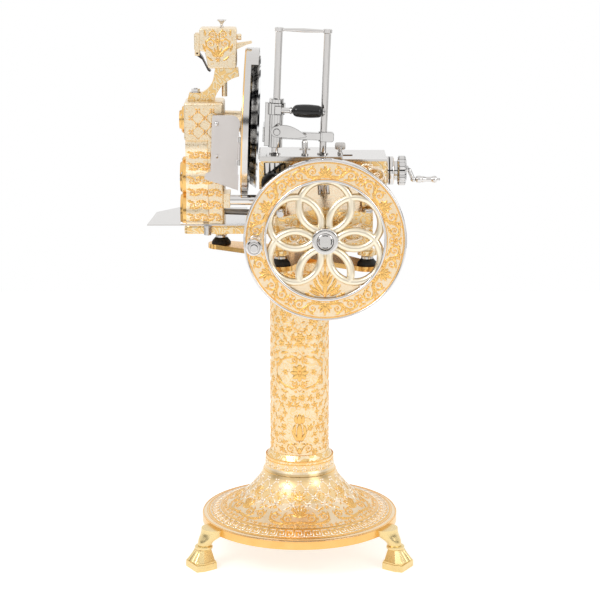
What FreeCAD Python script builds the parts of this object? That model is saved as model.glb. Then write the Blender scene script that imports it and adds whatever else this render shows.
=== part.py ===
"""Hand cranked meat slicer on a pedestal, as separate pieces in millimetres.

X runs to the right of the operator, Y away from the operator, Z up. Shapes are built about the
pedestal's axis and moved at export, so that the origin lies under the middle of the machine.
"""
import FreeCAD
import Part
import math
import os

V = FreeCAD.Vector
X_AXIS = V(1, 0, 0)
Y_AXIS = V(0, 1, 0)
Z_AXIS = V(0, 0, 1)

# Where the pedestal's axis stands in the finished model
PEDESTAL_X = 21.0
PEDESTAL_Y = 20.0

# Fits between pieces
RUNNING = 0.05          # radial clearance of a shaft in a bore
SIDE_GAP = 0.3          # gap between faces that move past each other
CURVED_GAP = 0.3        # gap between curved faces that only lie side by side

# Pedestal
BASE_RADIUS = 254.0
BASE_BOTTOM = 84.5
BASE_RIM = 24.0
BASE_WALL = 9.0
COLUMN_RADIUS = 75.0
COLUMN_WALL = 8.0
COLLAR_RADIUS = 87.5
COLLAR_BOTTOM = 237.5
COLLAR_BAND = 24.5
COLLAR_SHOULDER = 16.0
PLATE_TOP = 800.0
PLATE_THICKNESS = 12.0
PLATE_CENTRE_RADIUS = 92.0
PLATE_PAD_RADIUS = 34.0
PLATE_SCREW_CIRCLE = 58.0
PLATE_SCREW_RADIUS = 5.0
FOOT_ANGLES = (210.0, 330.0, 90.0)
FOOT_REACH = 320.0
FOOT_SOLE_WIDTH = 71.0
FOOT_SOLE_LENGTH = 58.0
FOOT_SOLE_HEIGHT = 17.0
FOOT_BLOCK_TOP = 50.0
FOOT_CUFF_HEIGHT = 9.0
FOOT_CUFF_RADIUS = 23.0
FOOT_WEB_REACH = 66.0
FOOT_WEB_WIDTH = 30.0

# Machine base
CASE_BOTTOM = 835.0
CASE_LEFT = -60.0
CASE_RIGHT = 180.0
CASE_FRONT = -190.0
CASE_REAR = 185.0
CASE_WALL = 8.0
CASE_LEFT_TOP = 917.0
CASE_RIGHT_TOP = 930.0
CASE_PEAK = 947.0
SLAB_LEFT = -297.0
SLAB_FRONT = 50.0
SLAB_TOP = 860.0
RIB_HEIGHT = 14.0
RUBBER_FOOT_RADIUS = 25.0
RUBBER_FOOT_HEIGHT = 15.0
STUD_RADIUS = 6.0
STUD_NUT_RADIUS = 15.0
STUD_NUT_HEIGHT = 7.0
LUG_HEIGHT = 9.0
LUG_RADIUS = 24.0
CORNER_RADIUS = 13.0
CORNERS = ((-47.0, -174.0), (167.0, -174.0), (167.0, 170.0))
TOWER_FOOT_PLACE = (-204.0, 112.0)
REAR_LEFT_CORNER = (-47.0, 170.0)

# Rails that carry the carriage
RAIL_RADIUS = 8.0
RAIL_Z = 927.0
RAIL_SEAT = 2.0
RAIL_CLAMP_RADIUS = 11.0
RAIL_CLAMP_HEIGHT = 14.0
TROUGH_HALF = 15.0
TROUGH_Z = 911.0
TROUGH_FRONT = -157.0
TROUGH_REAR = 106.0

# Flywheel and main shaft
WHEEL_X = 62.0
SHAFT_Z = 876.0
WHEEL_FACE_Y = -262.0
WHEEL_RADIUS = 198.0
WHEEL_WIDTH = 26.0
WHEEL_BAND = 5.5
RIM_INNER = 147.5
INNER_BAND_WIDTH = 4.5
INNER_BAND_DEPTH = 3.0
SPOKE_RINGS = 6
SPOKE_CENTRE = 83.5
SPOKE_RADIUS = 63.0
SPOKE_TUBE = 9.6
HUB_RADIUS = 30.0
HUB_CAP_RADIUS = 32.5
HUB_CAP_DEPTH = 9.0
PANEL_THICKNESS = 9.0
PANEL_HALF_ANGLE = 27.0
SHAFT_RADIUS = 9.0
BUSH_WALL = 5.0
BEARING_BOSS = 24.0
HANDLE_CIRCLE = 170.0
HANDLE_SPINDLE = 5.0
HANDLE_LENGTH = 92.0
HANDLE_RADIUS = 12.0

# Gears
BEVEL_MODULE = 2.25
BEVEL_TEETH = 32
PINION_TEETH = 16
BEVEL_FACE = 11.0
KNIFE_BEVEL_MODULE = 1.6
KNIFE_BEVEL_FACE = 8.0
SPUR_MODULE = 3.0
DRIVE_TEETH = 30
IDLER_TEETH = 28
KNIFE_TEETH = 15
SPUR_WIDTH = 12.0
BACKLASH = 0.50
BEVEL_BACKLASH = 0.55
IDLER_STUD_RADIUS = 6.0
TRAIN_Y = 96.0
CROSS_RADIUS = 8.0
CROSS_END_RADIUS = 5.5
CROSS_HUB = 9.0
KNIFE_TILT = 2.2

# Crank that drives the carriage
CRANK_Y = -20.0
CRANK_RADIUS = 65.0
CRANK_DISC_RADIUS = 75.0
CRANK_DISC_THICKNESS = 7.0
CRANK_PIN_RADIUS = 7.0
CRANK_PIN_HEIGHT = 3.5
CRANK_PIN_GAP = 0.5
CRANK_STUD_RADIUS = 7.0
ROD_LENGTH = 110.0
ROD_THICKNESS = 7.0
ROD_EYE = 16.0
DRIVE_PIN_RADIUS = 13.0
DRIVE_PIN_NECK = 9.0

# Gear tower
TOWER_LEFT = -294.0
TOWER_RIGHT = -193.0
TOWER_FRONT = 38.0
TOWER_REAR = 154.0
TOWER_TOP = 1175.0
TOWER_SHOULDER = 1078.0
TOWER_COLUMN_LEFT = -235.0
TOWER_WALL = 8.0
GEAR_ROOM = 4.0
GEAR_SPACE_WIDTH = 44.0
COVER_RIM = 5.0
COVER_DOME = 11.0
UPPER_COVER_RADIUS = 35.0

# Knife and guard, in the leaning frame
KNIFE_RADIUS = 170.0
KNIFE_EDGE_X = -115.0
KNIFE_DEPTH = 24.0
KNIFE_WEB = 4.0
KNIFE_SHAFT_RADIUS = 10.0
KNIFE_HUB_RADIUS = 38.0
HOUSING_RADIUS = 27.0
GUARD_RADIUS = 190.0
GUARD_SECTION = 15.0
GUARD_LEFT_X = -150.0
GUARD_WIDTH = 14.0
GUARD_TOP_WIDTH = 32.0
GUARD_TOP_ANGLE = 34.0
BACK_PLATE = 4.0

# Carriage and table
CARRIAGE_LEFT = -23.0
CARRIAGE_RIGHT = 214.0
CARRIAGE_FRONT = -166.0
CARRIAGE_REAR = -12.0
CARRIAGE_BOTTOM = 997.0
CARRIAGE_WALL = 8.0
DECK_BOTTOM = 1056.0
DECK_TOP = 1061.0
DECK_LEFT = -99.0
TABLE_TOP = 1068.0
TABLE_LEFT = -101.0
TABLE_RIGHT = 106.0
TABLE_FRONT = -170.0
TABLE_REAR = -4.0
BEARING_WIDTH = 26.0
BEARING_LENGTH = 30.0
BEARING_PLACES = (-138.0, -42.0)

# Feed screw and handwheel
FEED_Y = -100.0
FEED_Z = 1023.0
FEED_SCREW_RADIUS = 8.0
FEED_NUT_LENGTH = 34.0
FEED_TRAVEL = 96.0
FEED_COLLAR_RADIUS = 34.0
FEED_COLLAR_LENGTH = 19.0
FEED_NECK_RADIUS = 24.0
FEED_NECK_LENGTH = 9.0
HANDWHEEL_RADIUS = 37.0
HANDWHEEL_WIDTH = 22.0
HANDWHEEL_LOBES = 6
FEED_ARM_DROP = 22.0
FEED_ARM_REACH = 18.0
FEED_GRIP_LENGTH = 58.0
FEED_GRIP_RADIUS = 9.0

# Meat holder
POST_RADIUS = 8.5
POST_Y = -125.0
POST_LEFT_X = -61.0
POST_RIGHT_X = 57.0
POST_HEIGHT = 300.0
POST_FLANGE = 14.0
POST_SEAT = 1.0
CAP_RADIUS = 11.0
CAP_HEIGHT = 11.0
TIE_ROD_RADIUS = 3.2
CLAMP_BAR_Z = 1104.0
CLAMP_BAR_HEIGHT = 24.0
CLAMP_BODY_TOP = 1205.0
CLAMP_WALL = 9.0
GRIP_LENGTH = 74.0
GRIP_RADIUS = 16.5
GRIP_Z = 1179.0
GRIP_SPINDLE = 4.0
LEVER_X = -58.0
LEVER_Z = 1127.0
LEVER_PIN = 4.0
LEVER_BOSS = 27.0
JAW_DEPTH = 108.0
JAW_TEETH = 7

# Thickness knob
KNOB_X = -67.0
KNOB_Z = 1003.0
KNOB_RADIUS = 27.0
KNOB_WIDTH = 16.0
KNOB_SPINDLE = 4.0

# Sharpener
SHARP_Y = 96.0
HEAD_LEFT = -254.0
HEAD_RIGHT = -160.0
HEAD_BOTTOM = 1258.5
HEAD_HEIGHT = 101.5
HEAD_DEPTH = 62.0
BRACKET_WIDTH = 30.0
GUIDE_ROD_X = -192.0
GUIDE_ROD_RADIUS = 7.0
KNOB_STEM = 3.0
SHARP_KNOB_X = -198.0
FLAP_X = -260.0
FLAP_RISE = 37.5
FLAP_PIN = 2.5
FLAP_WIDTH = 31.0

# Tray and deflector
TRAY_LEFT = -391.0
TRAY_RIGHT = -140.0
TRAY_FRONT = 30.0
TRAY_REAR = 293.0
TRAY_THICKNESS = 3.0
DEFLECTOR_Y = 14.0
DEFLECTOR_THICKNESS = 2.5
GUIDE_BAR_RADIUS = 13.0
GUIDE_BAR_Y = 13.0
HINGE_RADIUS = 4.5
HINGE_PIN = 2.5
HINGE_Z = 1046.0
HINGE_HALF = 23.0

# Sizes that follow from the ones above
BASE_TOP = BASE_BOTTOM + BASE_RIM
COLLAR_TOP = COLLAR_BOTTOM + COLLAR_BAND
PLATE_BOTTOM = PLATE_TOP - PLATE_THICKNESS
FOOT_PLACES = CORNERS + (TOWER_FOOT_PLACE,)
DRIVE_PITCH = SPUR_MODULE * DRIVE_TEETH / 2
IDLER_PITCH = SPUR_MODULE * IDLER_TEETH / 2
KNIFE_PITCH = SPUR_MODULE * KNIFE_TEETH / 2
IDLER_LOWER_Z = SHAFT_Z + DRIVE_PITCH + IDLER_PITCH
IDLER_UPPER_Z = IDLER_LOWER_Z + 2 * IDLER_PITCH
KNIFE_Z = IDLER_UPPER_Z + IDLER_PITCH + KNIFE_PITCH
PINION_PITCH = BEVEL_MODULE * PINION_TEETH / 2
CROSS_APEX_REACH = KNIFE_BEVEL_MODULE * BEVEL_TEETH / 2
SHAFT_APEX_REACH = KNIFE_BEVEL_MODULE * PINION_TEETH / 2
WHEEL_BACK_Y = WHEEL_FACE_Y + WHEEL_WIDTH
WHEEL_MIDDLE_Y = WHEEL_FACE_Y + WHEEL_WIDTH / 2
SPUR_X = TOWER_LEFT + 12.0
APEX = V(WHEEL_X, TRAIN_Y, SHAFT_Z)
DRIVE_PIN_Y = CRANK_Y - CRANK_RADIUS + ROD_LENGTH
CRANK_DISC_Z = SHAFT_Z + PINION_PITCH + 2.6
CRANK_PIN_TOP = CRANK_DISC_Z + CRANK_DISC_THICKNESS + CRANK_PIN_HEIGHT
ROD_Z = CRANK_PIN_TOP + CRANK_PIN_GAP
GUARD_RIGHT_X = GUARD_LEFT_X + GUARD_WIDTH
BLOCK_TOP = SHAFT_Z + 12.0
GUARD_INNER = GUARD_RADIUS - GUARD_SECTION
BAR_Z = KNIFE_Z - GUARD_RADIUS + 8.5
HEAD_TOP = HEAD_BOTTOM + HEAD_HEIGHT
FLAP_Z = HEAD_BOTTOM + FLAP_RISE
STONE_Z = HEAD_BOTTOM + 27.5


def box(x0, x1, y0, y1, z0, z1):
    """A block between two corners."""
    return Part.makeBox(x1 - x0, y1 - y0, z1 - z0, V(x0, y0, z0))


def rod(radius, start, end):
    """A round bar from one point to another."""
    span = end - start
    return Part.makeCylinder(radius, span.Length, start, span)


def ring(outer, inner, start, end):
    """A tube from one point to another."""
    span = end - start
    reach = V(span)
    reach.normalize()
    return rod(outer, start, end).cut(rod(inner, start - reach, end + reach))


def fuse(first, *others):
    """One solid from pieces that overlap or touch."""
    return first.multiFuse(list(others)).removeSplitter()


def prism(points, direction):
    """A straight body on a closed outline."""
    outline = Part.makePolygon(list(points) + [points[0]])
    return Part.Face(outline).extrude(direction)


def front_prism(points, y0, y1):
    """A body with an outline in XZ, from one Y to another."""
    return prism([V(x, y0, z) for x, z in points], V(0, y1 - y0, 0))


def turned(points, start, direction, arc=360.0):
    """A lathe shape: (radius, height) points turned about a line."""
    outline = Part.makePolygon([V(r, 0, h) for r, h in points] + [V(points[0][0], 0, points[0][1])])
    solid = Part.Face(outline).revolve(V(0, 0, 0), Z_AXIS, arc)
    solid.Placement = FreeCAD.Placement(start, FreeCAD.Rotation(Z_AXIS, direction))
    return solid


def smooth_line(points):
    """A smooth curve through points."""
    curve = Part.BSplineCurve()
    curve.interpolate(points)
    return curve.toShape()


def lean(shape):
    """Turn a piece of the knife assembly from its upright frame into the leaning one."""
    leaning = shape.copy()
    leaning.rotate(APEX, Y_AXIS, KNIFE_TILT)
    return leaning


def lean_point(point):
    """The same turn for one point."""
    turn = FreeCAD.Rotation(Y_AXIS, KNIFE_TILT)
    return APEX + turn.multVec(point - APEX)


def round_edges(shape, radius, wanted):
    """Round the edges that a test picks."""
    edges = [edge for edge in shape.Edges if wanted(edge)]
    return shape.makeFillet(radius, edges)


def runs_along(edge, axis):
    """Whether an edge is straight and runs along an axis."""
    if not isinstance(edge.Curve, Part.Line):
        return False
    return abs(edge.Curve.Direction.dot(axis)) > 0.999


def centre_of(edge):
    """The middle of an edge."""
    return edge.CenterOfMass


def save(name, *solids):
    """Write one node, moved so that the origin lies under the middle of the machine."""
    shape = solids[0] if len(solids) == 1 else Part.makeCompound(list(solids))
    shape = shape.copy()
    shape.translate(V(PEDESTAL_X, PEDESTAL_Y, 0))
    shape.exportStep("parts/" + name + ".step")


# ---------------------------------------------------------------- gears

def tooth_profile(teeth, module, thinning):
    """The outline points of a spur gear about the origin in XY, with straightened flanks."""
    pitch = module * teeth / 2
    tip = pitch + 0.9 * module
    root = pitch - 1.15 * module
    quarter = math.pi / (2 * teeth)
    loss = thinning / (2 * pitch)
    half_root = quarter * 1.62 - loss
    half_pitch = quarter - loss
    half_tip = quarter * 0.50 - loss
    points = []
    for tooth in range(teeth):
        middle = 2 * math.pi * tooth / teeth
        for radius, angle in ((root, -half_root), (pitch, -half_pitch), (tip, -half_tip),
                              (tip, half_tip), (pitch, half_pitch), (root, half_root)):
            points.append((radius * math.cos(middle + angle), radius * math.sin(middle + angle)))
    return points


def spur_gear(teeth, phase, centre, bore):
    """A spur gear with its axis along X and a plain bore."""
    points = tooth_profile(teeth, SPUR_MODULE, BACKLASH)
    outline = [V(0, x, y) for x, y in points]
    gear = prism(outline, V(SPUR_WIDTH, 0, 0))
    gear.rotate(V(0, 0, 0), X_AXIS, phase)
    pitch = SPUR_MODULE * teeth / 2
    hub = rod(bore + 6, V(-3, 0, 0), V(SPUR_WIDTH + 3, 0, 0))
    gear = fuse(gear, hub)
    if pitch > 30:
        for hole in range(5):
            turn = math.radians(72 * hole)
            spot = V(-1, 0.62 * pitch * math.cos(turn), 0.62 * pitch * math.sin(turn))
            gear = gear.cut(rod(0.2 * pitch, spot, spot + V(SPUR_WIDTH + 2, 0, 0)))
    gear = gear.cut(rod(bore, V(-9, 0, 0), V(SPUR_WIDTH + 9, 0, 0)))
    gear.translate(centre)
    return gear


def bevel_gear(teeth, mate_teeth, module, width, bore, hub_length):
    """A straight bevel gear with its apex at the origin, its axis along +Z and its teeth towards it."""
    pitch = module * teeth / 2
    depth = module * mate_teeth / 2
    slant = math.hypot(pitch, depth)
    inner = (slant - width) / slant
    cone = math.atan2(pitch, depth)
    quarter = math.pi / (2 * teeth)
    loss = BEVEL_BACKLASH / (2 * pitch)

    rises = (-1.15 * module, 0.0, 0.85 * module)
    widths = (quarter * 1.55 - loss, quarter - loss, quarter * 0.50 - loss)
    steps = [(rises[0], -widths[0]), (rises[1], -widths[1]), (rises[2], -widths[2]),
             (rises[2], widths[2]), (rises[1], widths[1]), (rises[0], widths[0])]

    def section(share):
        """One closed toothed loop on the back cone, scaled towards the apex."""
        points = []
        for tooth in range(teeth):
            middle = 2 * math.pi * tooth / teeth
            for rise, angle in steps:
                radius = (pitch + rise * math.cos(cone)) * share
                height = (depth - rise * math.sin(cone)) * share
                turn = middle + angle
                points.append(V(radius * math.cos(turn), radius * math.sin(turn), height))
        return points

    outer_loop = section(1.0)
    inner_loop = section(inner)
    root_drop = 1.15 * module * math.sin(cone)
    back = depth + root_drop + 2.0
    count = len(outer_loop)
    faces = []
    for index in range(count):
        nxt = (index + 1) % count
        corners = (outer_loop[index], outer_loop[nxt], inner_loop[nxt], inner_loop[index])
        faces.append(flat_or_split(corners))
    inner_centre = V(0, 0, inner_loop[0].z)
    back_loop = [V(p.x, p.y, back) for p in outer_loop]
    back_centre = V(0, 0, back)
    for index in range(count):
        nxt = (index + 1) % count
        rim_corners = (outer_loop[nxt], outer_loop[index], back_loop[index], back_loop[nxt])
        faces.append([triangle(inner_loop[index], inner_loop[nxt], inner_centre)])
        faces.append(flat_or_split(rim_corners))
        faces.append([triangle(back_loop[nxt], back_loop[index], back_centre)])
    flat = [face for group in faces for face in group]
    gear = Part.Solid(Part.makeShell(flat))
    gear = gear.removeSplitter()
    if gear.Volume < 0:
        gear.reverse()
    hub = rod(bore + 7, V(0, 0, back - 1), V(0, 0, back + hub_length))
    gear = fuse(gear, hub)
    return gear.cut(rod(bore, V(0, 0, -1), V(0, 0, back + hub_length + 1)))


def triangle(a, b, c):
    """A flat face on three points."""
    return Part.Face(Part.makePolygon([a, b, c, a]))


def flat_or_split(corners):
    """Two triangles that fill a quadrilateral."""
    a, b, c, d = corners
    return [triangle(a, b, c), triangle(a, c, d)]


# ---------------------------------------------------------------- pedestal

def pedestal_base():
    """Round foot plate that sweeps up into a trumpet, hollow underneath."""
    outer = smooth_line([V(89, 0, COLLAR_BOTTOM), V(93, 0, 226.6), V(98.5, 0, 210), V(109, 0, 194),
                         V(124, 0, 176), V(150, 0, 152), V(185, 0, 130), V(217, 0, 117),
                         V(BASE_RADIUS - 5, 0, BASE_TOP)])
    rim = [V(BASE_RADIUS - 5, 0, BASE_TOP), V(BASE_RADIUS - 1.5, 0, BASE_TOP - 1),
           V(BASE_RADIUS, 0, BASE_TOP - 4), V(BASE_RADIUS, 0, BASE_BOTTOM + 3),
           V(BASE_RADIUS - 3, 0, BASE_BOTTOM),
           V(BASE_RADIUS - 18, 0, BASE_BOTTOM), V(BASE_RADIUS - 18, 0, BASE_TOP - 4 - BASE_WALL)]
    inner = smooth_line([V(BASE_RADIUS - 18, 0, BASE_TOP - 4 - BASE_WALL), V(185, 0, 130 - BASE_WALL * 1.3),
                         V(141, 0, 148), V(111, 0, 174), V(94, 0, 196), V(83, 0, 216),
                         V(COLUMN_RADIUS - COLUMN_WALL, 0, COLLAR_BOTTOM)])
    top = Part.makePolygon([V(COLUMN_RADIUS - COLUMN_WALL, 0, COLLAR_BOTTOM), V(89, 0, COLLAR_BOTTOM)])
    profile = Part.Wire([outer] + Part.makePolygon(rim).Edges + [inner] + top.Edges)
    return Part.Face(profile).revolve(V(0, 0, 0), Z_AXIS, 360)


def column_collar():
    """Turned ring round the foot of the column, with a bead and a sloping shoulder."""
    top = COLLAR_TOP + COLLAR_SHOULDER
    profile = [(COLUMN_RADIUS, COLLAR_BOTTOM), (COLLAR_RADIUS + 2, COLLAR_BOTTOM),
               (COLLAR_RADIUS + 2, COLLAR_BOTTOM + 3), (COLLAR_RADIUS, COLLAR_BOTTOM + 4),
               (COLLAR_RADIUS, COLLAR_TOP - 1), (COLLAR_RADIUS - 1, COLLAR_TOP),
               (COLUMN_RADIUS + 2, top - 1.5), (COLUMN_RADIUS, top)]
    return turned(profile, V(0, 0, 0), Z_AXIS)


def pedestal_column():
    """Tube with an inner flange at its top for the plate's screws."""
    tube = ring(COLUMN_RADIUS, COLUMN_RADIUS - COLUMN_WALL, V(0, 0, COLLAR_BOTTOM), V(0, 0, PLATE_BOTTOM))
    top = V(0, 0, PLATE_BOTTOM)
    flange = ring(COLUMN_RADIUS - 2, PLATE_SCREW_CIRCLE - 16, top - V(0, 0, 12), top)
    column = fuse(tube, flange)
    for spot in screw_places():
        column = column.cut(rod(PLATE_SCREW_RADIUS, spot + V(0, 0, -20), spot + V(0, 0, 1)))
    return column


def screw_places():
    """Centres of the plate's screws at the top of the column."""
    reach = PLATE_SCREW_CIRCLE
    angles = [math.radians(45 + 90 * index) for index in range(4)]
    return [V(reach * math.cos(a), reach * math.sin(a), PLATE_BOTTOM) for a in angles]


def arm_outline(place):
    """The four corners of a tapered arm from the plate's centre to one foot pad."""
    reach = V(place[0], place[1], 0)
    along = V(reach)
    along.normalize()
    across = V(-along.y, along.x, 0)
    wide = PLATE_CENTRE_RADIUS * 0.62
    narrow = PLATE_PAD_RADIUS * 0.98
    start = V(along) * (PLATE_CENTRE_RADIUS * 0.4)
    corners = [start + across * wide, start - across * wide, reach - across * narrow, reach + across * narrow]
    return [corner + V(0, 0, PLATE_BOTTOM) for corner in corners]


def pedestal_top_plate():
    """Thin spider plate with a round pad under each foot of the machine."""
    rise = V(0, 0, PLATE_THICKNESS)
    plate = rod(PLATE_CENTRE_RADIUS, V(0, 0, PLATE_BOTTOM), V(0, 0, PLATE_TOP))
    arms = []
    for place in FOOT_PLACES:
        pad = V(place[0], place[1], PLATE_BOTTOM)
        arms.append(rod(PLATE_PAD_RADIUS, pad, pad + rise))
        arms.append(prism(arm_outline(place), rise))
    plate = fuse(plate, *arms)
    for spot in screw_places():
        plate = plate.cut(rod(PLATE_SCREW_RADIUS, spot - V(0, 0, 1), spot + rise + V(0, 0, 1)))
        plate = plate.cut(rod(PLATE_SCREW_RADIUS + 3.5, spot + rise - V(0, 0, 5), spot + rise + V(0, 0, 1)))
    for place in FOOT_PLACES:
        spot = V(place[0], place[1], PLATE_BOTTOM)
        plate = plate.cut(rod(STUD_RADIUS, spot - V(0, 0, 1), spot + rise + V(0, 0, 1)))
    return plate


def plate_screws():
    """Socket screws that hold the plate to the column."""
    screws = []
    for spot in screw_places():
        shank = rod(PLATE_SCREW_RADIUS, spot - V(0, 0, 12), spot + V(0, 0, PLATE_THICKNESS - 5))
        head_foot = spot + V(0, 0, PLATE_THICKNESS - 5)
        head = rod(PLATE_SCREW_RADIUS + 3.5, head_foot, head_foot + V(0, 0, 4.5))
        socket = rod(3, spot + V(0, 0, PLATE_THICKNESS - 3.5), spot + V(0, 0, PLATE_THICKNESS))
        screws.append(fuse(shank, head).cut(socket))
    return screws


def oval(along, across, centre, height):
    """A closed elliptic wire in a horizontal plane, with its long axis along X or Y."""
    spot = V(centre, 0, height)
    if along >= across:
        ellipse = Part.Ellipse(spot, along, across)
        return Part.Wire(ellipse.toShape())
    ellipse = Part.Ellipse(spot, across, along)
    ellipse.XAxis = Y_AXIS
    return Part.Wire(ellipse.toShape())


def sole_outline(inset, length, height):
    """Six-sided outline of the foot's sole or block at one height."""
    half = FOOT_SOLE_WIDTH / 2 - inset
    outer = FOOT_REACH - inset
    inner = outer - length
    points = [(inner, half * 0.85), (outer - length * 0.33, half), (outer, half * 0.86)]
    mirrored = [(x, -y) for x, y in reversed(points)]
    loop = [V(x, y, height) for x, y in points + mirrored]
    return Part.makePolygon(loop + [loop[0]])


def foot_cuff(centre):
    """Round collar between the foot's block and its leg."""
    profile = [(0, 0), (FOOT_CUFF_RADIUS - 2, 0), (FOOT_CUFF_RADIUS, 2),
               (FOOT_CUFF_RADIUS, FOOT_CUFF_HEIGHT - 2),
               (FOOT_CUFF_RADIUS - 2, FOOT_CUFF_HEIGHT), (0, FOOT_CUFF_HEIGHT)]
    return turned(profile, V(centre - 2, 0, FOOT_BLOCK_TOP), Z_AXIS)


def foot_web(centre):
    """Web with a hollow curve from the leg in to the underside of the round base."""
    side = -FOOT_WEB_WIDTH / 2
    top = BASE_BOTTOM + 12
    start = V(centre - FOOT_WEB_REACH, side, BASE_BOTTOM + 2)
    hollow = V(centre - 28, side, BASE_BOTTOM - 10)
    end = V(centre - 12, side, FOOT_BLOCK_TOP + 3)
    curve = Part.Arc(start, hollow, end).toShape()
    straight = Part.makePolygon([end, V(centre - 4, side, top), V(start.x, side, top), start])
    return Part.Face(Part.Wire([curve] + straight.Edges)).extrude(V(0, FOOT_WEB_WIDTH, 0))


def pedestal_foot(angle):
    """Cast foot: sole, stepped block with toe ribs, cuff, and a leg that swells into the rim."""
    sole = Part.Face(sole_outline(0, FOOT_SOLE_LENGTH, 0)).extrude(V(0, 0, FOOT_SOLE_HEIGHT))
    step = Part.Face(sole_outline(2.5, FOOT_SOLE_LENGTH - 3, FOOT_SOLE_HEIGHT)).extrude(V(0, 0, 4))
    block_foot = sole_outline(5, FOOT_SOLE_LENGTH - 8, FOOT_SOLE_HEIGHT + 4)
    block_top = sole_outline(18, FOOT_SOLE_LENGTH - 26, FOOT_BLOCK_TOP)
    block = Part.makeLoft([block_foot, block_top], True, True)
    centre = FOOT_REACH - 18 - (FOOT_SOLE_LENGTH - 26) / 2
    cuff_top = FOOT_BLOCK_TOP + FOOT_CUFF_HEIGHT
    leg = Part.makeLoft([oval(17, 18, centre - 4, cuff_top - 2), oval(20, 22, centre - 9, 70),
                         oval(30, 30, centre - 26, BASE_BOTTOM),
                         oval(34, 34, centre - 34, BASE_BOTTOM + 17)], True)
    toes = []
    for share in (-0.62, 0.0, 0.62):
        low = V(FOOT_REACH - 5, share * (FOOT_SOLE_WIDTH / 2 - 8), FOOT_SOLE_HEIGHT + 1)
        high = V(FOOT_REACH - 22, share * (FOOT_SOLE_WIDTH / 2 - 20), FOOT_BLOCK_TOP - 4)
        toes.append(Part.makeCone(8.5, 6.0, (high - low).Length, low, high - low))
    foot = fuse(sole, step, block, foot_cuff(centre), foot_web(centre), leg, *toes)
    below = box(0, FOOT_REACH * 2, -FOOT_REACH, FOOT_REACH, -30, 0)
    rim = rod(BASE_RADIUS, V(0, 0, BASE_BOTTOM), V(0, 0, BASE_BOTTOM + 60))
    foot = foot.cut(below).cut(rim)
    foot.rotate(V(0, 0, 0), Z_AXIS, angle)
    return foot


# ---------------------------------------------------------------- machine base

def case_outline(inset, bottom):
    """The front part's peaked outline in XZ, drawn in by a wall."""
    return [(CASE_LEFT + inset, bottom), (CASE_LEFT + inset, CASE_LEFT_TOP - inset),
            (WHEEL_X, CASE_PEAK - inset * 1.05), (CASE_RIGHT - inset, CASE_RIGHT_TOP - inset),
            (CASE_RIGHT - inset, bottom)]


def gear_room(extra, x0, x1):
    """Round spaces about the gear train, as one body in the leaning frame."""
    centres = ((SHAFT_Z, DRIVE_PITCH), (IDLER_LOWER_Z, IDLER_PITCH), (IDLER_UPPER_Z, IDLER_PITCH),
               (KNIFE_Z, KNIFE_PITCH))
    rooms = []
    for height, pitch in centres:
        radius = pitch + SPUR_MODULE + extra
        rooms.append(rod(radius, V(x0, TRAIN_Y, height), V(x1, TRAIN_Y, height)))
    return rooms


def base_slab():
    """Low hollow slab under the tower, rounded on its left side."""
    slab = box(SLAB_LEFT, CASE_LEFT + 1, SLAB_FRONT, CASE_REAR, CASE_BOTTOM, SLAB_TOP)
    slab = round_edges(slab, 14, lambda e: runs_along(e, Z_AXIS) and centre_of(e).x < SLAB_LEFT + 1)
    slab = round_edges(slab, 9, lambda e: runs_along(e, Y_AXIS) and centre_of(e).x < SLAB_LEFT + 1
                       and centre_of(e).z > SLAB_TOP - 1)
    return slab.cut(box(SLAB_LEFT + 16, CASE_LEFT - CASE_WALL, SLAB_FRONT + CASE_WALL, CASE_REAR - CASE_WALL,
                        CASE_BOTTOM - 5, SLAB_TOP - CASE_WALL))


def base_inner_parts():
    """Ribs, corner bosses, foot lugs, shaft nose, bar lug and rail beds of the base."""
    ribs = [box(CASE_LEFT + 4, CASE_RIGHT - 4, CRANK_Y - 15, CRANK_Y + 15, CASE_BOTTOM,
                CASE_BOTTOM + RIB_HEIGHT),
            box(CASE_LEFT + 4, CASE_RIGHT - 4, 40, 50, CASE_BOTTOM, CRANK_DISC_Z - 6),
            box(-26, -14, 48, CASE_REAR - 4, CASE_BOTTOM, SHAFT_Z + 22)]
    low = CASE_BOTTOM - LUG_HEIGHT
    bosses = [rod(CORNER_RADIUS, V(x, y, low), V(x, y, RAIL_Z - RAIL_SEAT)) for x, y in rail_corners()]
    lugs = [rod(LUG_RADIUS, V(x, y, low), V(x, y, CASE_BOTTOM + 2)) for x, y in FOOT_PLACES]
    tower_lug = V(TOWER_FOOT_PLACE[0], TOWER_FOOT_PLACE[1], CASE_BOTTOM)
    lugs.append(rod(CORNER_RADIUS, tower_lug, tower_lug + V(0, 0, SLAB_TOP - 2 - CASE_BOTTOM)))
    nose = rod(BEARING_BOSS, V(WHEEL_X, CASE_FRONT - 18, SHAFT_Z), V(WHEEL_X, CASE_FRONT + 30, SHAFT_Z))
    bar_lug = box(CASE_LEFT, CASE_LEFT + 16, GUIDE_BAR_Y - 15, GUIDE_BAR_Y + 15, BAR_Z - 21, BAR_Z + 16)
    roofline = front_prism(case_outline(0, CASE_BOTTOM), CASE_FRONT, CASE_REAR)
    half = TROUGH_HALF + 6
    beds = [roofline.common(box(x - half, x + half, CASE_FRONT + 3, CASE_REAR - 3, TROUGH_Z - 6, CASE_PEAK))
            for x in rail_lines()]
    return ribs + bosses + lugs + [nose, bar_lug] + beds


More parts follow.
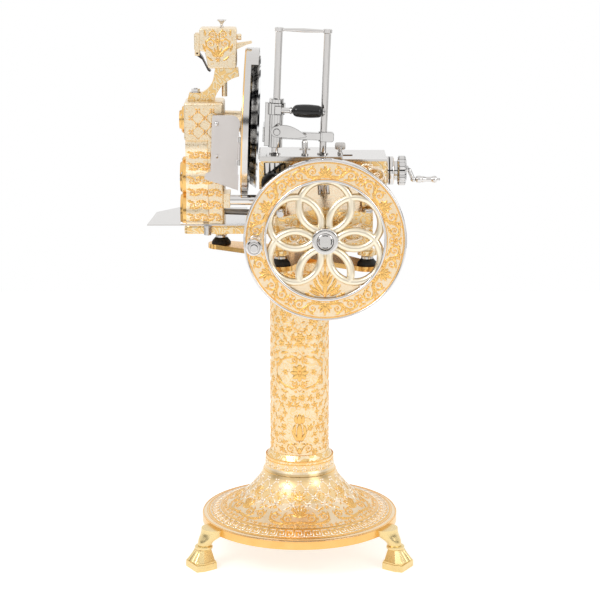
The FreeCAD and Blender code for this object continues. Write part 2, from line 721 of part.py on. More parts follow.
def base_cuts():
    """Bores, seats and slots that are cut out of the base."""
    start = V(WHEEL_X, CASE_FRONT - 20, SHAFT_Z)
    rear = V(WHEEL_X, 30, SHAFT_Z)
    slot_half = DRIVE_PIN_RADIUS + 2
    slot_rear = DRIVE_PIN_Y + 2 * CRANK_RADIUS + slot_half
    cuts = [rod(SHAFT_RADIUS + BUSH_WALL, start, start + V(0, 52, 0)),
            rod(SHAFT_RADIUS + RUNNING, rear, rear + V(0, 30, 0)),
            box(WHEEL_X - slot_half, WHEEL_X + slot_half, DRIVE_PIN_Y - slot_half - 1, slot_rear,
                CRANK_DISC_Z,
                CASE_PEAK + 5),
            lean(rod(CROSS_RADIUS + RUNNING, V(-40, TRAIN_Y, SHAFT_Z), V(0, TRAIN_Y, SHAFT_Z))),
            lean(rod(CROSS_RADIUS + 6, V(-90, TRAIN_Y, SHAFT_Z), V(-40, TRAIN_Y, SHAFT_Z))),
            rod(8, V(CASE_LEFT - 1, GUIDE_BAR_Y, BAR_Z), V(CASE_LEFT + 10, GUIDE_BAR_Y, BAR_Z))]
    for x in rail_lines():
        cuts.append(box(x - TROUGH_HALF, x + TROUGH_HALF, TROUGH_FRONT, TROUGH_REAR, TROUGH_Z, CASE_PEAK + 5))
        cuts.append(rail(x))
    seat = RAIL_Z - RAIL_SEAT
    cuts += [rod(RAIL_CLAMP_RADIUS + RUNNING, V(x, y, seat), V(x, y, CASE_PEAK + 5))
             for x, y in rail_corners()]
    cuts += [rod(STUD_RADIUS, V(x, y, CASE_BOTTOM - 20), V(x, y, CASE_BOTTOM + 12)) for x, y in FOOT_PLACES]
    cuts.append(lean(gear_room(GEAR_ROOM, TOWER_LEFT - 10, TOWER_LEFT + GEAR_SPACE_WIDTH)[0]))
    return cuts


def base_casting():
    """Hollow base: peaked body, low slab under the tower, ribs, bosses and the carriage slot."""
    body = front_prism(case_outline(0, CASE_BOTTOM), CASE_FRONT, CASE_REAR)
    body = round_edges(body, 6, lambda e: runs_along(e, Z_AXIS))
    inner_outline = case_outline(CASE_WALL, CASE_BOTTOM - 5)
    hollow = front_prism(inner_outline, CASE_FRONT + CASE_WALL, CASE_REAR - CASE_WALL)
    body = fuse(body.cut(hollow), base_slab())
    body = fuse(body, *base_inner_parts())
    for cut in base_cuts():
        body = body.cut(cut)
    return body


def rail_corners():
    """Places of the four bosses that hold the rails' ends."""
    return CORNERS + (REAR_LEFT_CORNER,)


def rail_lines():
    """X places of the two rails."""
    return (CORNERS[0][0], CORNERS[1][0])


def rail(x):
    """One round rail that runs front to back."""
    reach = CORNER_RADIUS + 2
    return rod(RAIL_RADIUS, V(x, CORNERS[0][1] - reach, RAIL_Z), V(x, REAR_LEFT_CORNER[1] + reach, RAIL_Z))


def rail_clamps():
    """Round caps that hold the rails down on the corner bosses."""
    clamps = []
    profile = [(0, 0), (RAIL_CLAMP_RADIUS, 0), (RAIL_CLAMP_RADIUS, RAIL_CLAMP_HEIGHT - 2),
               (RAIL_CLAMP_RADIUS - 2, RAIL_CLAMP_HEIGHT), (0, RAIL_CLAMP_HEIGHT)]
    for x, y in rail_corners():
        cap = turned(profile, V(x, y, RAIL_Z - RAIL_SEAT), Z_AXIS)
        clamps.append(cap.cut(rail(x)))
    return clamps


def rubber_feet():
    """Black domed feet on the pads of the plate, each with a hole for its stud."""
    profile = [(STUD_RADIUS, 0), (RUBBER_FOOT_RADIUS, 0), (RUBBER_FOOT_RADIUS, 3),
               (RUBBER_FOOT_RADIUS - 3, 8),
               (RUBBER_FOOT_RADIUS - 9, RUBBER_FOOT_HEIGHT), (STUD_RADIUS, RUBBER_FOOT_HEIGHT)]
    return [turned(profile, V(x, y, PLATE_TOP), Z_AXIS) for x, y in FOOT_PLACES]


def foot_studs():
    """Studs from the plate up into the lugs, each with a knurled nut."""
    studs = []
    profile = [(0, 0), (STUD_NUT_RADIUS - 1, 0), (STUD_NUT_RADIUS, 1), (STUD_NUT_RADIUS, STUD_NUT_HEIGHT - 1),
               (STUD_NUT_RADIUS - 1, STUD_NUT_HEIGHT), (0, STUD_NUT_HEIGHT)]
    for x, y in FOOT_PLACES:
        pin = rod(STUD_RADIUS, V(x, y, PLATE_BOTTOM), V(x, y, CASE_BOTTOM + 12))
        nut = turned(profile, V(x, y, PLATE_TOP + RUBBER_FOOT_HEIGHT), Z_AXIS)
        studs.append(fuse(pin, nut))
    return studs


def front_shaft_bush():
    """Bronze bush in the nose of the base."""
    start = V(WHEEL_X, CASE_FRONT - 18, SHAFT_Z)
    return ring(SHAFT_RADIUS + BUSH_WALL, SHAFT_RADIUS + RUNNING, start, start + V(0, 48, 0))


def crank_bearing_block():
    """Pillow block that carries the main shaft, with the crank gear's stud on its top."""
    low = CASE_BOTTOM + RIB_HEIGHT
    foot = box(WHEEL_X - 30, WHEEL_X + 30, CRANK_Y - 15, CRANK_Y + 15, low, low + 8)
    drum = rod(16, V(WHEEL_X, CRANK_Y, low), V(WHEEL_X, CRANK_Y, BLOCK_TOP))
    stud_top = CRANK_DISC_Z + CRANK_DISC_THICKNESS
    stud = rod(CRANK_STUD_RADIUS, V(WHEEL_X, CRANK_Y, BLOCK_TOP - 1), V(WHEEL_X, CRANK_Y, stud_top))
    bore = rod(SHAFT_RADIUS + RUNNING, V(WHEEL_X, CRANK_Y - 30, SHAFT_Z), V(WHEEL_X, CRANK_Y + 30, SHAFT_Z))
    return fuse(foot, drum, stud).cut(bore)


# ---------------------------------------------------------------- flywheel

def wheel_point(radius, degrees, y):
    """A point on the flywheel at a radius and an angle from +X."""
    angle = math.radians(degrees)
    return V(WHEEL_X + radius * math.cos(angle), y, SHAFT_Z + radius * math.sin(angle))


def spoke_section():
    """Eight-sided section of a ring spoke, as (radius, height) points."""
    angles = [math.radians(22.5 + 45 * corner) for corner in range(8)]
    return [(SPOKE_RADIUS + SPOKE_TUBE * math.cos(a), SPOKE_TUBE * math.sin(a)) for a in angles]


def flywheel_casting():
    """Rim, six ring spokes, lower panel and hub in one casting."""
    back = V(WHEEL_X, WHEEL_BACK_Y, SHAFT_Z)
    face = V(WHEEL_X, WHEEL_FACE_Y, SHAFT_Z)
    rim = ring(WHEEL_RADIUS - WHEEL_BAND, RIM_INNER, face, back)
    spokes = []
    for index in range(SPOKE_RINGS):
        centre = wheel_point(SPOKE_CENTRE, 30 + 360 / SPOKE_RINGS * index, WHEEL_MIDDLE_Y)
        spokes.append(turned(spoke_section(), centre, Y_AXIS))
    hub = rod(HUB_RADIUS, face, back + V(0, 6, 0))
    half = PANEL_THICKNESS / 2
    low = V(WHEEL_X, WHEEL_MIDDLE_Y - half, SHAFT_Z)
    high = V(WHEEL_X, WHEEL_MIDDLE_Y + half, SHAFT_Z)
    panel_centre = wheel_point(SPOKE_CENTRE, 270, low.y)
    panel = rod(SPOKE_RADIUS, panel_centre, panel_centre + V(0, PANEL_THICKNESS, 0))
    wedge_points = [wheel_point(reach, angle, low.y) for reach, angle in
                    ((0, 0), (RIM_INNER * 1.2, 270 - PANEL_HALF_ANGLE), (RIM_INNER * 1.3, 270),
                     (RIM_INNER * 1.2, 270 + PANEL_HALF_ANGLE))]
    wedge = prism(wedge_points, V(0, PANEL_THICKNESS, 0))
    wedge = wedge.common(ring(RIM_INNER + 1, HUB_RADIUS + 40, low, high))
    wheel = fuse(rim, *spokes, hub, panel, wedge)
    wheel = wheel.cut(rod(SHAFT_RADIUS, face - V(0, 1, 0), back + V(0, 20, 0)))
    return wheel.cut(rod(HANDLE_SPINDLE, handle_place(WHEEL_FACE_Y - 1), handle_place(WHEEL_BACK_Y + 1)))


def handle_place(y):
    """A point on the crank handle's axis."""
    return wheel_point(HANDLE_CIRCLE, 180, y)


def flywheel_outer_band():
    """Bright band round the outside of the rim."""
    start = V(WHEEL_X, WHEEL_FACE_Y - 1.5, SHAFT_Z)
    return ring(WHEEL_RADIUS, WHEEL_RADIUS - WHEEL_BAND, start, V(WHEEL_X, WHEEL_BACK_Y + 1.5, SHAFT_Z))


def flywheel_inner_band():
    """Bright band on the inner edge of the rim's face."""
    start = V(WHEEL_X, WHEEL_FACE_Y - 1.5, SHAFT_Z)
    reach = V(0, INNER_BAND_DEPTH + 1.5, 0)
    lip = ring(RIM_INNER, RIM_INNER - INNER_BAND_WIDTH, start, start + reach)
    face = ring(RIM_INNER + 2.5, RIM_INNER - INNER_BAND_WIDTH, start, start + V(0, 1.5, 0))
    return fuse(lip, face)


def hub_cap():
    """Domed disc over the hub, stepped like a nut cover."""
    top = HUB_CAP_DEPTH
    profile = [(0, 0), (HUB_CAP_RADIUS, 0), (HUB_CAP_RADIUS, top - 3), (HUB_CAP_RADIUS - 2, top), (23, top),
               (22, top - 2), (20.5, top - 2), (19.5, top + 2), (18, top + 3), (0, top + 3)]
    return turned(profile, V(WHEEL_X, WHEEL_FACE_Y, SHAFT_Z), V(0, -1, 0))


def handle_spindle():
    """Fixed spindle of the crank handle, with a collar on the rim."""
    tip = handle_place(WHEEL_FACE_Y - HANDLE_LENGTH - 6)
    pin = rod(HANDLE_SPINDLE, tip, handle_place(WHEEL_BACK_Y))
    collar = rod(HANDLE_RADIUS + 3, handle_place(WHEEL_FACE_Y - 5), handle_place(WHEEL_FACE_Y))
    button = rod(HANDLE_SPINDLE + 3.5, handle_place(WHEEL_FACE_Y - HANDLE_LENGTH - 9), tip)
    return fuse(pin, collar, button)


def wheel_handle_grip():
    """Turned grip that spins on the spindle."""
    bore = HANDLE_SPINDLE + RUNNING
    length = HANDLE_LENGTH - 5 - 2 * SIDE_GAP
    profile = [(bore, 0), (HANDLE_RADIUS - 1, 0), (HANDLE_RADIUS, 2), (HANDLE_RADIUS - 1, 5), (8.5, 8),
               (8, 12),
               (HANDLE_RADIUS - 2, 0.4 * length), (HANDLE_RADIUS, 0.65 * length),
               (HANDLE_RADIUS - 0.5, 0.85 * length), (8.5, length - 1.5), (7.5, length), (bore, length)]
    return turned(profile, handle_place(WHEEL_FACE_Y - 5 - SIDE_GAP), V(0, -1, 0))


def main_shaft():
    """Shaft from the flywheel back to the bevel gear."""
    end_y = TRAIN_Y - SHAFT_APEX_REACH + 2
    shaft = rod(SHAFT_RADIUS, V(WHEEL_X, WHEEL_FACE_Y, SHAFT_Z), V(WHEEL_X, end_y, SHAFT_Z))
    spacer_end = CASE_FRONT - 18 - SIDE_GAP
    spacer = rod(SHAFT_RADIUS + 6, V(WHEEL_X, WHEEL_BACK_Y + 6, SHAFT_Z), V(WHEEL_X, spacer_end, SHAFT_Z))
    return fuse(shaft, spacer)


def place_bevel(gear, apex, direction):
    """Set a bevel gear, made about the origin along +Z, on its apex and axis."""
    placed = gear.copy()
    placed.Placement = FreeCAD.Placement(apex, FreeCAD.Rotation(Z_AXIS, direction))
    return placed


def main_bevel_gear():
    """Bevel gear at the rear end of the main shaft."""
    gear = bevel_gear(BEVEL_TEETH, PINION_TEETH, KNIFE_BEVEL_MODULE, KNIFE_BEVEL_FACE, SHAFT_RADIUS, 12)
    return lean(place_bevel(gear, APEX, V(0, -1, 0)))


def cross_bevel_pinion():
    """Bevel pinion on the cross shaft."""
    gear = bevel_gear(PINION_TEETH, BEVEL_TEETH, KNIFE_BEVEL_MODULE, KNIFE_BEVEL_FACE, CROSS_END_RADIUS,
                      CROSS_HUB)
    gear = place_bevel(gear, APEX, V(-1, 0, 0))
    gear.rotate(APEX, X_AXIS, 180 / PINION_TEETH)
    return lean(gear)


def crank_pinion():
    """Bevel pinion on the main shaft that turns the crank gear."""
    apex = V(WHEEL_X, CRANK_Y, SHAFT_Z)
    gear = bevel_gear(PINION_TEETH, BEVEL_TEETH, BEVEL_MODULE, BEVEL_FACE, SHAFT_RADIUS, 9)
    gear = place_bevel(gear, apex, V(0, -1, 0))
    gear.rotate(apex, Y_AXIS, 180 / PINION_TEETH)
    return gear


def crank_gear():
    """Bevel ring under a disc that carries the crank pin."""
    apex = V(WHEEL_X, CRANK_Y, SHAFT_Z)
    bore_radius = CRANK_STUD_RADIUS + RUNNING
    teeth = bevel_gear(BEVEL_TEETH, PINION_TEETH, BEVEL_MODULE, BEVEL_FACE, bore_radius, 1)
    teeth = place_bevel(teeth, apex, Z_AXIS)
    disc_foot = V(WHEEL_X, CRANK_Y, CRANK_DISC_Z)
    disc = rod(CRANK_DISC_RADIUS, disc_foot, disc_foot + V(0, 0, CRANK_DISC_THICKNESS))
    pin_foot = V(WHEEL_X, CRANK_Y - CRANK_RADIUS, CRANK_DISC_Z)
    pin = rod(CRANK_PIN_RADIUS, pin_foot, V(pin_foot.x, pin_foot.y, CRANK_PIN_TOP))
    room = rod(17, V(WHEEL_X, CRANK_Y, SHAFT_Z), V(WHEEL_X, CRANK_Y, BLOCK_TOP + SIDE_GAP))
    bore = rod(bore_radius, apex, V(WHEEL_X, CRANK_Y, CRANK_PIN_TOP + 9))
    gear = fuse(teeth, disc, pin).cut(room).cut(bore)
    for index in range(6):
        angle = math.radians(30 + 60 * index)
        spot = V(WHEEL_X + 57 * math.cos(angle), CRANK_Y + 57 * math.sin(angle), CRANK_DISC_Z - 1)
        gear = gear.cut(rod(9, spot, spot + V(0, 0, CRANK_DISC_THICKNESS + 2)))
    return gear


def connecting_rod():
    """Flat rod from the crank to the carriage's drive pin."""
    crank_end = V(WHEEL_X, CRANK_Y - CRANK_RADIUS, ROD_Z)
    pin_end = V(WHEEL_X, DRIVE_PIN_Y, ROD_Z)
    rise = V(0, 0, ROD_THICKNESS)
    eyes = [rod(ROD_EYE, crank_end, crank_end + rise), rod(ROD_EYE + 2, pin_end, pin_end + rise)]
    web = box(WHEEL_X - 9, WHEEL_X + 9, crank_end.y, pin_end.y, ROD_Z, ROD_Z + ROD_THICKNESS)
    body = fuse(web, *eyes)
    return body.cut(rod(DRIVE_PIN_NECK + RUNNING, pin_end - rise, pin_end + rise * 2))


# ---------------------------------------------------------------- gear tower

def tower_barrels():
    """The stacked round bodies that follow the lower gears, cut level at the slab."""
    barrels = []
    for height, pitch, wall in ((SHAFT_Z, DRIVE_PITCH, 6.5), (IDLER_LOWER_Z, IDLER_PITCH, 8.0),
                                (IDLER_UPPER_Z, IDLER_PITCH, 3.0)):
        spot = lean_point(V(TOWER_LEFT + 20, TRAIN_Y, height))
        radius = pitch + SPUR_MODULE + GEAR_ROOM + wall
        barrels.append(rod(radius, V(TOWER_LEFT + 3, TRAIN_Y, spot.z),
                           V(TOWER_COLUMN_LEFT + 2, TRAIN_Y, spot.z)))
    core = box(TOWER_LEFT + 3, TOWER_COLUMN_LEFT + 2, TOWER_FRONT + 12, TOWER_REAR - 12, SLAB_TOP,
               TOWER_SHOULDER + 5)
    below = box(TOWER_LEFT - 50, TOWER_RIGHT + 50, TOWER_FRONT - 50, TOWER_REAR + 50, SLAB_TOP - 200,
                SLAB_TOP)
    return fuse(core, *barrels).cut(below)


def gear_tower():
    """Casting that holds the gear train: rounded head, bulging left side and a straight column."""
    head = box(TOWER_LEFT, TOWER_RIGHT, TOWER_FRONT, TOWER_REAR, TOWER_SHOULDER, TOWER_TOP)
    head = round_edges(head, 7, lambda e: runs_along(e, Z_AXIS) or centre_of(e).z > TOWER_TOP - 1
                       or (centre_of(e).z < TOWER_SHOULDER + 1 and centre_of(e).x < TOWER_LEFT + 1))
    column = box(TOWER_COLUMN_LEFT, TOWER_RIGHT, TOWER_FRONT, TOWER_REAR, SLAB_TOP, TOWER_SHOULDER + 20)
    column = round_edges(column, 6, lambda e: runs_along(e, Z_AXIS))
    body = fuse(head, column, tower_barrels())
    inner_left = TOWER_LEFT + 8
    inner_right = TOWER_LEFT + GEAR_SPACE_WIDTH
    rooms = gear_room(GEAR_ROOM, inner_left, inner_right)
    mouths = gear_room(GEAR_ROOM, TOWER_LEFT - 30, inner_left + 1)
    shafts = [rod(CROSS_RADIUS + RUNNING, V(inner_right - 1, TRAIN_Y, SHAFT_Z),
                  V(TOWER_RIGHT + 40, TRAIN_Y, SHAFT_Z)),
              rod(KNIFE_SHAFT_RADIUS + RUNNING, V(inner_right - 1, TRAIN_Y, KNIFE_Z),
                  V(TOWER_RIGHT + 40, TRAIN_Y, KNIFE_Z))]
    studs = [rod(IDLER_STUD_RADIUS, V(inner_right - 1, TRAIN_Y, z), V(inner_right + 12, TRAIN_Y, z))
             for z in (IDLER_LOWER_Z, IDLER_UPPER_Z)]
    for tool in rooms + [mouths[0], mouths[1], mouths[3]] + shafts + studs:
        body = body.cut(lean(tool))
    floor = box(TOWER_LEFT - 50, TOWER_RIGHT + 50, TOWER_FRONT - 50, TOWER_REAR + 50, SLAB_TOP - 200,
                SLAB_TOP)
    return body.cut(floor)


def idler_studs():
    """Fixed pins on which the two idler gears run."""
    right = TOWER_LEFT + GEAR_SPACE_WIDTH
    studs = []
    for height in (IDLER_LOWER_Z, IDLER_UPPER_Z):
        studs.append(lean(rod(IDLER_STUD_RADIUS, V(SPUR_X - 3.5, TRAIN_Y, height),
                              V(right + 12, TRAIN_Y, height))))
    return studs


def cover_centre(height):
    """Where a gear axis passes through the tower's left face."""
    return lean_point(V(TOWER_LEFT, TRAIN_Y, height))


def lower_gear_cover():
    """Raised cover in the shape of two joined discs."""
    low = cover_centre(SHAFT_Z)
    high = cover_centre(IDLER_LOWER_Z)
    face = TOWER_LEFT + 3
    plates = []
    for centre, pitch in ((low, DRIVE_PITCH), (high, IDLER_PITCH)):
        radius = pitch + SPUR_MODULE + GEAR_ROOM + 3.5
        spot = V(face, TRAIN_Y, centre.z)
        plates.append(turned([(0, 0), (radius, 0), (radius, COVER_RIM + 3), (radius - 2, COVER_RIM + 5),
                              (radius - 11, COVER_RIM + 5),
                              (radius - 15, COVER_RIM + COVER_DOME), (0, COVER_RIM + COVER_DOME)], spot,
                             V(-1, 0, 0)))
    below = box(TOWER_LEFT - 50, TOWER_LEFT + 50, 0, 200, 0, SLAB_TOP + TRAY_THICKNESS + 1)
    return fuse(*plates).cut(below)


def upper_gear_cover():
    """Round cover over the knife pinion."""
    centre = cover_centre(KNIFE_Z)
    spot = V(TOWER_LEFT, TRAIN_Y, centre.z)
    return turned([(0, 0), (UPPER_COVER_RADIUS, 0), (UPPER_COVER_RADIUS, COVER_RIM),
                   (UPPER_COVER_RADIUS - 2, COVER_RIM + 2),
                   (UPPER_COVER_RADIUS - 9, COVER_RIM + 2),
                   (UPPER_COVER_RADIUS - 12, COVER_RIM + COVER_DOME - 2),
                   (0, COVER_RIM + COVER_DOME - 2)], spot, V(-1, 0, 0))


def cover_screws():
    """Round-headed screws on the upper and lower covers."""
    screws = []
    upper = cover_centre(KNIFE_Z)
    for index in range(3):
        angle = math.radians(30 + 120 * index)
        reach = UPPER_COVER_RADIUS - 5.5
        spot = V(TOWER_LEFT - COVER_RIM - 2, TRAIN_Y + reach * math.cos(angle),
                 upper.z + reach * math.sin(angle))
        screws.append(rod(2.5, spot, spot - V(2, 0, 0)))
    high = cover_centre(IDLER_LOWER_Z)
    for degrees in (20, 90, 160):
        angle = math.radians(degrees)
        reach = IDLER_PITCH + SPUR_MODULE + GEAR_ROOM - 3
        spot = V(TOWER_LEFT + 3 - COVER_RIM - 5, TRAIN_Y + reach * math.cos(angle),
                 high.z + reach * math.sin(angle))
        screws.append(rod(2.5, spot, spot - V(2, 0, 0)))
    return screws


# ---------------------------------------------------------------- drive to the knife

def cross_shaft():
    """Shaft that crosses the machine to the tower, with a thinner end that carries the bevel pinion."""
    shoulder = WHEEL_X - CROSS_APEX_REACH - 4 - CROSS_HUB
    shaft = rod(CROSS_RADIUS, V(SPUR_X - 6, TRAIN_Y, SHAFT_Z), V(shoulder, TRAIN_Y, SHAFT_Z))
    thin_end = V(WHEEL_X - CROSS_APEX_REACH + 3, TRAIN_Y, SHAFT_Z)
    return lean(fuse(shaft, rod(CROSS_END_RADIUS, V(shoulder - 1, TRAIN_Y, SHAFT_Z), thin_end)))


def tooth_at(teeth, degrees):
    """Turn that puts a tooth at an angle on a gear."""
    return degrees % (360 / teeth)


def gap_at(teeth, degrees):
    """Turn that puts a gap between teeth at an angle on a gear."""
    return tooth_at(teeth, degrees) + 180 / teeth


def tower_drive_gear():
    """Gear at the left end of the cross shaft, with a tooth at its top."""
    return lean(spur_gear(DRIVE_TEETH, tooth_at(DRIVE_TEETH, 90), V(SPUR_X, TRAIN_Y, SHAFT_Z), CROSS_RADIUS))


def idler_gear_lower():
    """First idler gear, with a gap at its bottom."""
    centre = V(SPUR_X, TRAIN_Y, IDLER_LOWER_Z)
    return lean(spur_gear(IDLER_TEETH, gap_at(IDLER_TEETH, 270), centre, IDLER_STUD_RADIUS + RUNNING))


def idler_gear_upper():
    """Second idler gear, with a tooth at its top."""
    centre = V(SPUR_X, TRAIN_Y, IDLER_UPPER_Z)
    return lean(spur_gear(IDLER_TEETH, tooth_at(IDLER_TEETH, 90), centre, IDLER_STUD_RADIUS + RUNNING))


def knife_pinion():
    """Small gear on the knife shaft, with a gap at its bottom."""
    return lean(spur_gear(KNIFE_TEETH, gap_at(KNIFE_TEETH, 270), V(SPUR_X, TRAIN_Y, KNIFE_Z),
                          KNIFE_SHAFT_RADIUS))


def knife_shaft():
    """Shaft through the bearing housing to the knife."""
    right = KNIFE_EDGE_X - KNIFE_DEPTH + KNIFE_WEB + 6
    shaft = rod(KNIFE_SHAFT_RADIUS, V(SPUR_X - 4, TRAIN_Y, KNIFE_Z), V(right, TRAIN_Y, KNIFE_Z))
    flange_right = KNIFE_EDGE_X - KNIFE_DEPTH
    flange = rod(24, V(flange_right - 5, TRAIN_Y, KNIFE_Z), V(flange_right, TRAIN_Y, KNIFE_Z))
    return lean(fuse(shaft, flange))


def knife_bearing_housing():
    """Round housing between the tower and the guard plate."""
    left = V(TOWER_RIGHT - 8, TRAIN_Y, KNIFE_Z)
    right = V(GUARD_LEFT_X - BACK_PLATE, TRAIN_Y, KNIFE_Z)
    housing = ring(HOUSING_RADIUS, KNIFE_SHAFT_RADIUS + RUNNING, left, right)
    flange = ring(HOUSING_RADIUS + 9, KNIFE_SHAFT_RADIUS + RUNNING, right - V(6, 0, 0), right)
    body = lean(fuse(housing, flange))
    tower_side = box(TOWER_RIGHT - 60, TOWER_RIGHT, 0, 200, TOWER_SHOULDER - 40, TOWER_TOP)
    return body.cut(tower_side)


def knife_blade():
    """Dished round blade: flat web, conical wall and a ground edge."""
    edge = KNIFE_EDGE_X
    root = edge - KNIFE_DEPTH
    profile = [(KNIFE_SHAFT_RADIUS, 0), (118, 0), (150, 3), (159, 8), (KNIFE_RADIUS, KNIFE_DEPTH),
               (163, KNIFE_DEPTH - 5),
               (153, 12), (146, 3 + KNIFE_WEB), (116, KNIFE_WEB), (KNIFE_SHAFT_RADIUS, KNIFE_WEB)]
    return lean(turned(profile, V(root, TRAIN_Y, KNIFE_Z), X_AXIS))


def knife_clamp_disc():
    """Disc with screw heads that holds the knife on its flange."""
    left = KNIFE_EDGE_X - KNIFE_DEPTH + KNIFE_WEB
    start = V(left, TRAIN_Y, KNIFE_Z)
    disc = turned([(KNIFE_SHAFT_RADIUS, 0), (KNIFE_HUB_RADIUS, 0), (KNIFE_HUB_RADIUS, 3),
                   (KNIFE_HUB_RADIUS - 4, 5),
                   (14, 5), (14, 8), (0, 8), (0, 6.2), (KNIFE_SHAFT_RADIUS, 6.2)], start, X_AXIS)
    heads = []
    for index in range(4):
        angle = math.radians(45 + 90 * index)
        spot = V(left + 4, TRAIN_Y + 25 * math.cos(angle), KNIFE_Z + 25 * math.sin(angle))
        heads.append(rod(4, spot, spot + V(4, 0, 0)))
    return lean(fuse(disc, *heads))


def hinge_point(z):
    """A point on the deflector's hinge axis, in the leaning frame."""
    return V(GUARD_LEFT_X - BACK_PLATE - HINGE_RADIUS - 1, DEFLECTOR_Y, z)


def guard_back_plate():
    """Plate behind the knife with windows, a hinge leaf, a hinge pin and two knuckles."""
    left = V(GUARD_LEFT_X - BACK_PLATE, TRAIN_Y, KNIFE_Z)
    right = V(GUARD_LEFT_X, TRAIN_Y, KNIFE_Z)
    plate = rod(GUARD_RADIUS - 3, left, right)
    low = HINGE_Z - HINGE_HALF
    high = HINGE_Z + HINGE_HALF
    leaf = box(left.x - 2.5, left.x + 1, DEFLECTOR_Y - HINGE_RADIUS, DEFLECTOR_Y + 24, low - 13, high + 13)
    window = rod(HINGE_RADIUS + 1, hinge_point(low - SIDE_GAP), hinge_point(high + SIDE_GAP))
    pin = rod(HINGE_PIN, hinge_point(low - 13), hinge_point(high + 13))
    knuckles = [rod(HINGE_RADIUS, hinge_point(low - 13), hinge_point(low - SIDE_GAP)),
                rod(HINGE_RADIUS, hinge_point(high + SIDE_GAP), hinge_point(high + 13))]
    strap = [box(hinge_point(0).x, left.x + 1, DEFLECTOR_Y - 2, DEFLECTOR_Y + 2, low - 13, low - SIDE_GAP),
             box(hinge_point(0).x, left.x + 1, DEFLECTOR_Y - 2, DEFLECTOR_Y + 2, high + SIDE_GAP, high + 13)]
    body = fuse(plate, leaf.cut(window), pin, *knuckles, *strap)
    body = body.cut(rod(KNIFE_SHAFT_RADIUS + 4, left - V(9, 0, 0), right + V(1, 0, 0)))
    for index in range(4):
        angle = math.radians(60 * index - 60)
        spot = V(left.x - 1, TRAIN_Y + 108 * math.cos(angle), KNIFE_Z + 108 * math.sin(angle))
        body = body.cut(rod(34, spot, spot + V(BACK_PLATE + 2, 0, 0)))
    return lean(body)


def knife_guard_ring():
    """Ring round the knife, widened over the top to cover the edge."""
    left = V(GUARD_LEFT_X, TRAIN_Y, KNIFE_Z)
    narrow = ring(GUARD_RADIUS, GUARD_INNER, left, V(GUARD_RIGHT_X, TRAIN_Y, KNIFE_Z))
    wide = ring(GUARD_RADIUS, GUARD_INNER + 6, left, V(GUARD_LEFT_X + GUARD_TOP_WIDTH, TRAIN_Y, KNIFE_Z))
    reach = GUARD_RADIUS * 1.3
    half = math.radians(GUARD_TOP_ANGLE)
    fan = [V(left.x - 1, TRAIN_Y, KNIFE_Z),
           V(left.x - 1, TRAIN_Y - reach * math.sin(half), KNIFE_Z + reach * math.cos(half)),
           V(left.x - 1, TRAIN_Y + reach * math.sin(half), KNIFE_Z + reach * math.cos(half))]
    hood = wide.common(prism(fan, V(GUARD_TOP_WIDTH + 2, 0, 0)))
    return lean(fuse(narrow, hood))


# ---------------------------------------------------------------- carriage and table

def carriage_body():
    """Engraved casting under the deck: feed box, deck, bearing legs and the drive arm."""
    shell = box(CARRIAGE_LEFT, CARRIAGE_RIGHT, CARRIAGE_FRONT, CARRIAGE_REAR, CARRIAGE_BOTTOM, DECK_BOTTOM)
    shell = round_edges(shell, 5, lambda e: runs_along(e, Z_AXIS))
    inner = box(CARRIAGE_LEFT + CARRIAGE_WALL, CARRIAGE_RIGHT - CARRIAGE_WALL, CARRIAGE_FRONT + CARRIAGE_WALL,
                CARRIAGE_REAR - CARRIAGE_WALL, CARRIAGE_BOTTOM - 5, DECK_BOTTOM - CARRIAGE_WALL)
    body = shell.cut(inner)
    wing = box(DECK_LEFT + 4, CARRIAGE_LEFT + 4, CARRIAGE_FRONT, CARRIAGE_REAR, DECK_BOTTOM - 10, DECK_BOTTOM)
    half = BEARING_WIDTH / 2
    leg_low = RAIL_Z + RAIL_RADIUS + 6
    legs = []
    for x in rail_lines():
        for y in BEARING_PLACES:
            legs.append(box(x - half, x + half, y - 12, y + 12, leg_low, DECK_BOTTOM - 4))
    arm = box(WHEEL_X - 20, WHEEL_X + 20, CARRIAGE_REAR - 10, DRIVE_PIN_Y, 1004, 1030)
    eye = rod(20, V(WHEEL_X, DRIVE_PIN_Y, 1004), V(WHEEL_X, DRIVE_PIN_Y, 1030))
    knob_post = box(KNOB_X - 32, KNOB_X - 20, CARRIAGE_FRONT, CARRIAGE_FRONT + 12, KNOB_Z - 4,
                    DECK_BOTTOM - 4)
    knob_web = box(KNOB_X - 32, CARRIAGE_LEFT + 4, CARRIAGE_FRONT, CARRIAGE_FRONT + 12, KNOB_Z - 16,
                   KNOB_Z + 34)
    body = fuse(body, wing, *legs, arm, eye, knob_post, knob_web)
    feed = V(CARRIAGE_LEFT - 1, FEED_Y, FEED_Z)
    body = body.cut(rod(FEED_SCREW_RADIUS + RUNNING, feed, V(CARRIAGE_RIGHT + 1, FEED_Y, FEED_Z)))
    slot_left = nut_left() - 6
    body = body.cut(box(slot_left, nut_left() + FEED_NUT_LENGTH + FEED_TRAVEL + 6, FEED_Y - 12.5,
                        FEED_Y + 12.5,
                        DECK_BOTTOM - 20, DECK_BOTTOM + 1))
    body = body.cut(rod(DRIVE_PIN_NECK, V(WHEEL_X, DRIVE_PIN_Y, 1000), V(WHEEL_X, DRIVE_PIN_Y, 1026)))
    return body.cut(rod(KNOB_SPINDLE + RUNNING, V(KNOB_X, CARRIAGE_FRONT - 5, KNOB_Z),
                        V(KNOB_X, CARRIAGE_FRONT + 20, KNOB_Z)))


def nut_left():
    """Left end of the feed nut at rest."""
    return CARRIAGE_LEFT + CARRIAGE_WALL + 10


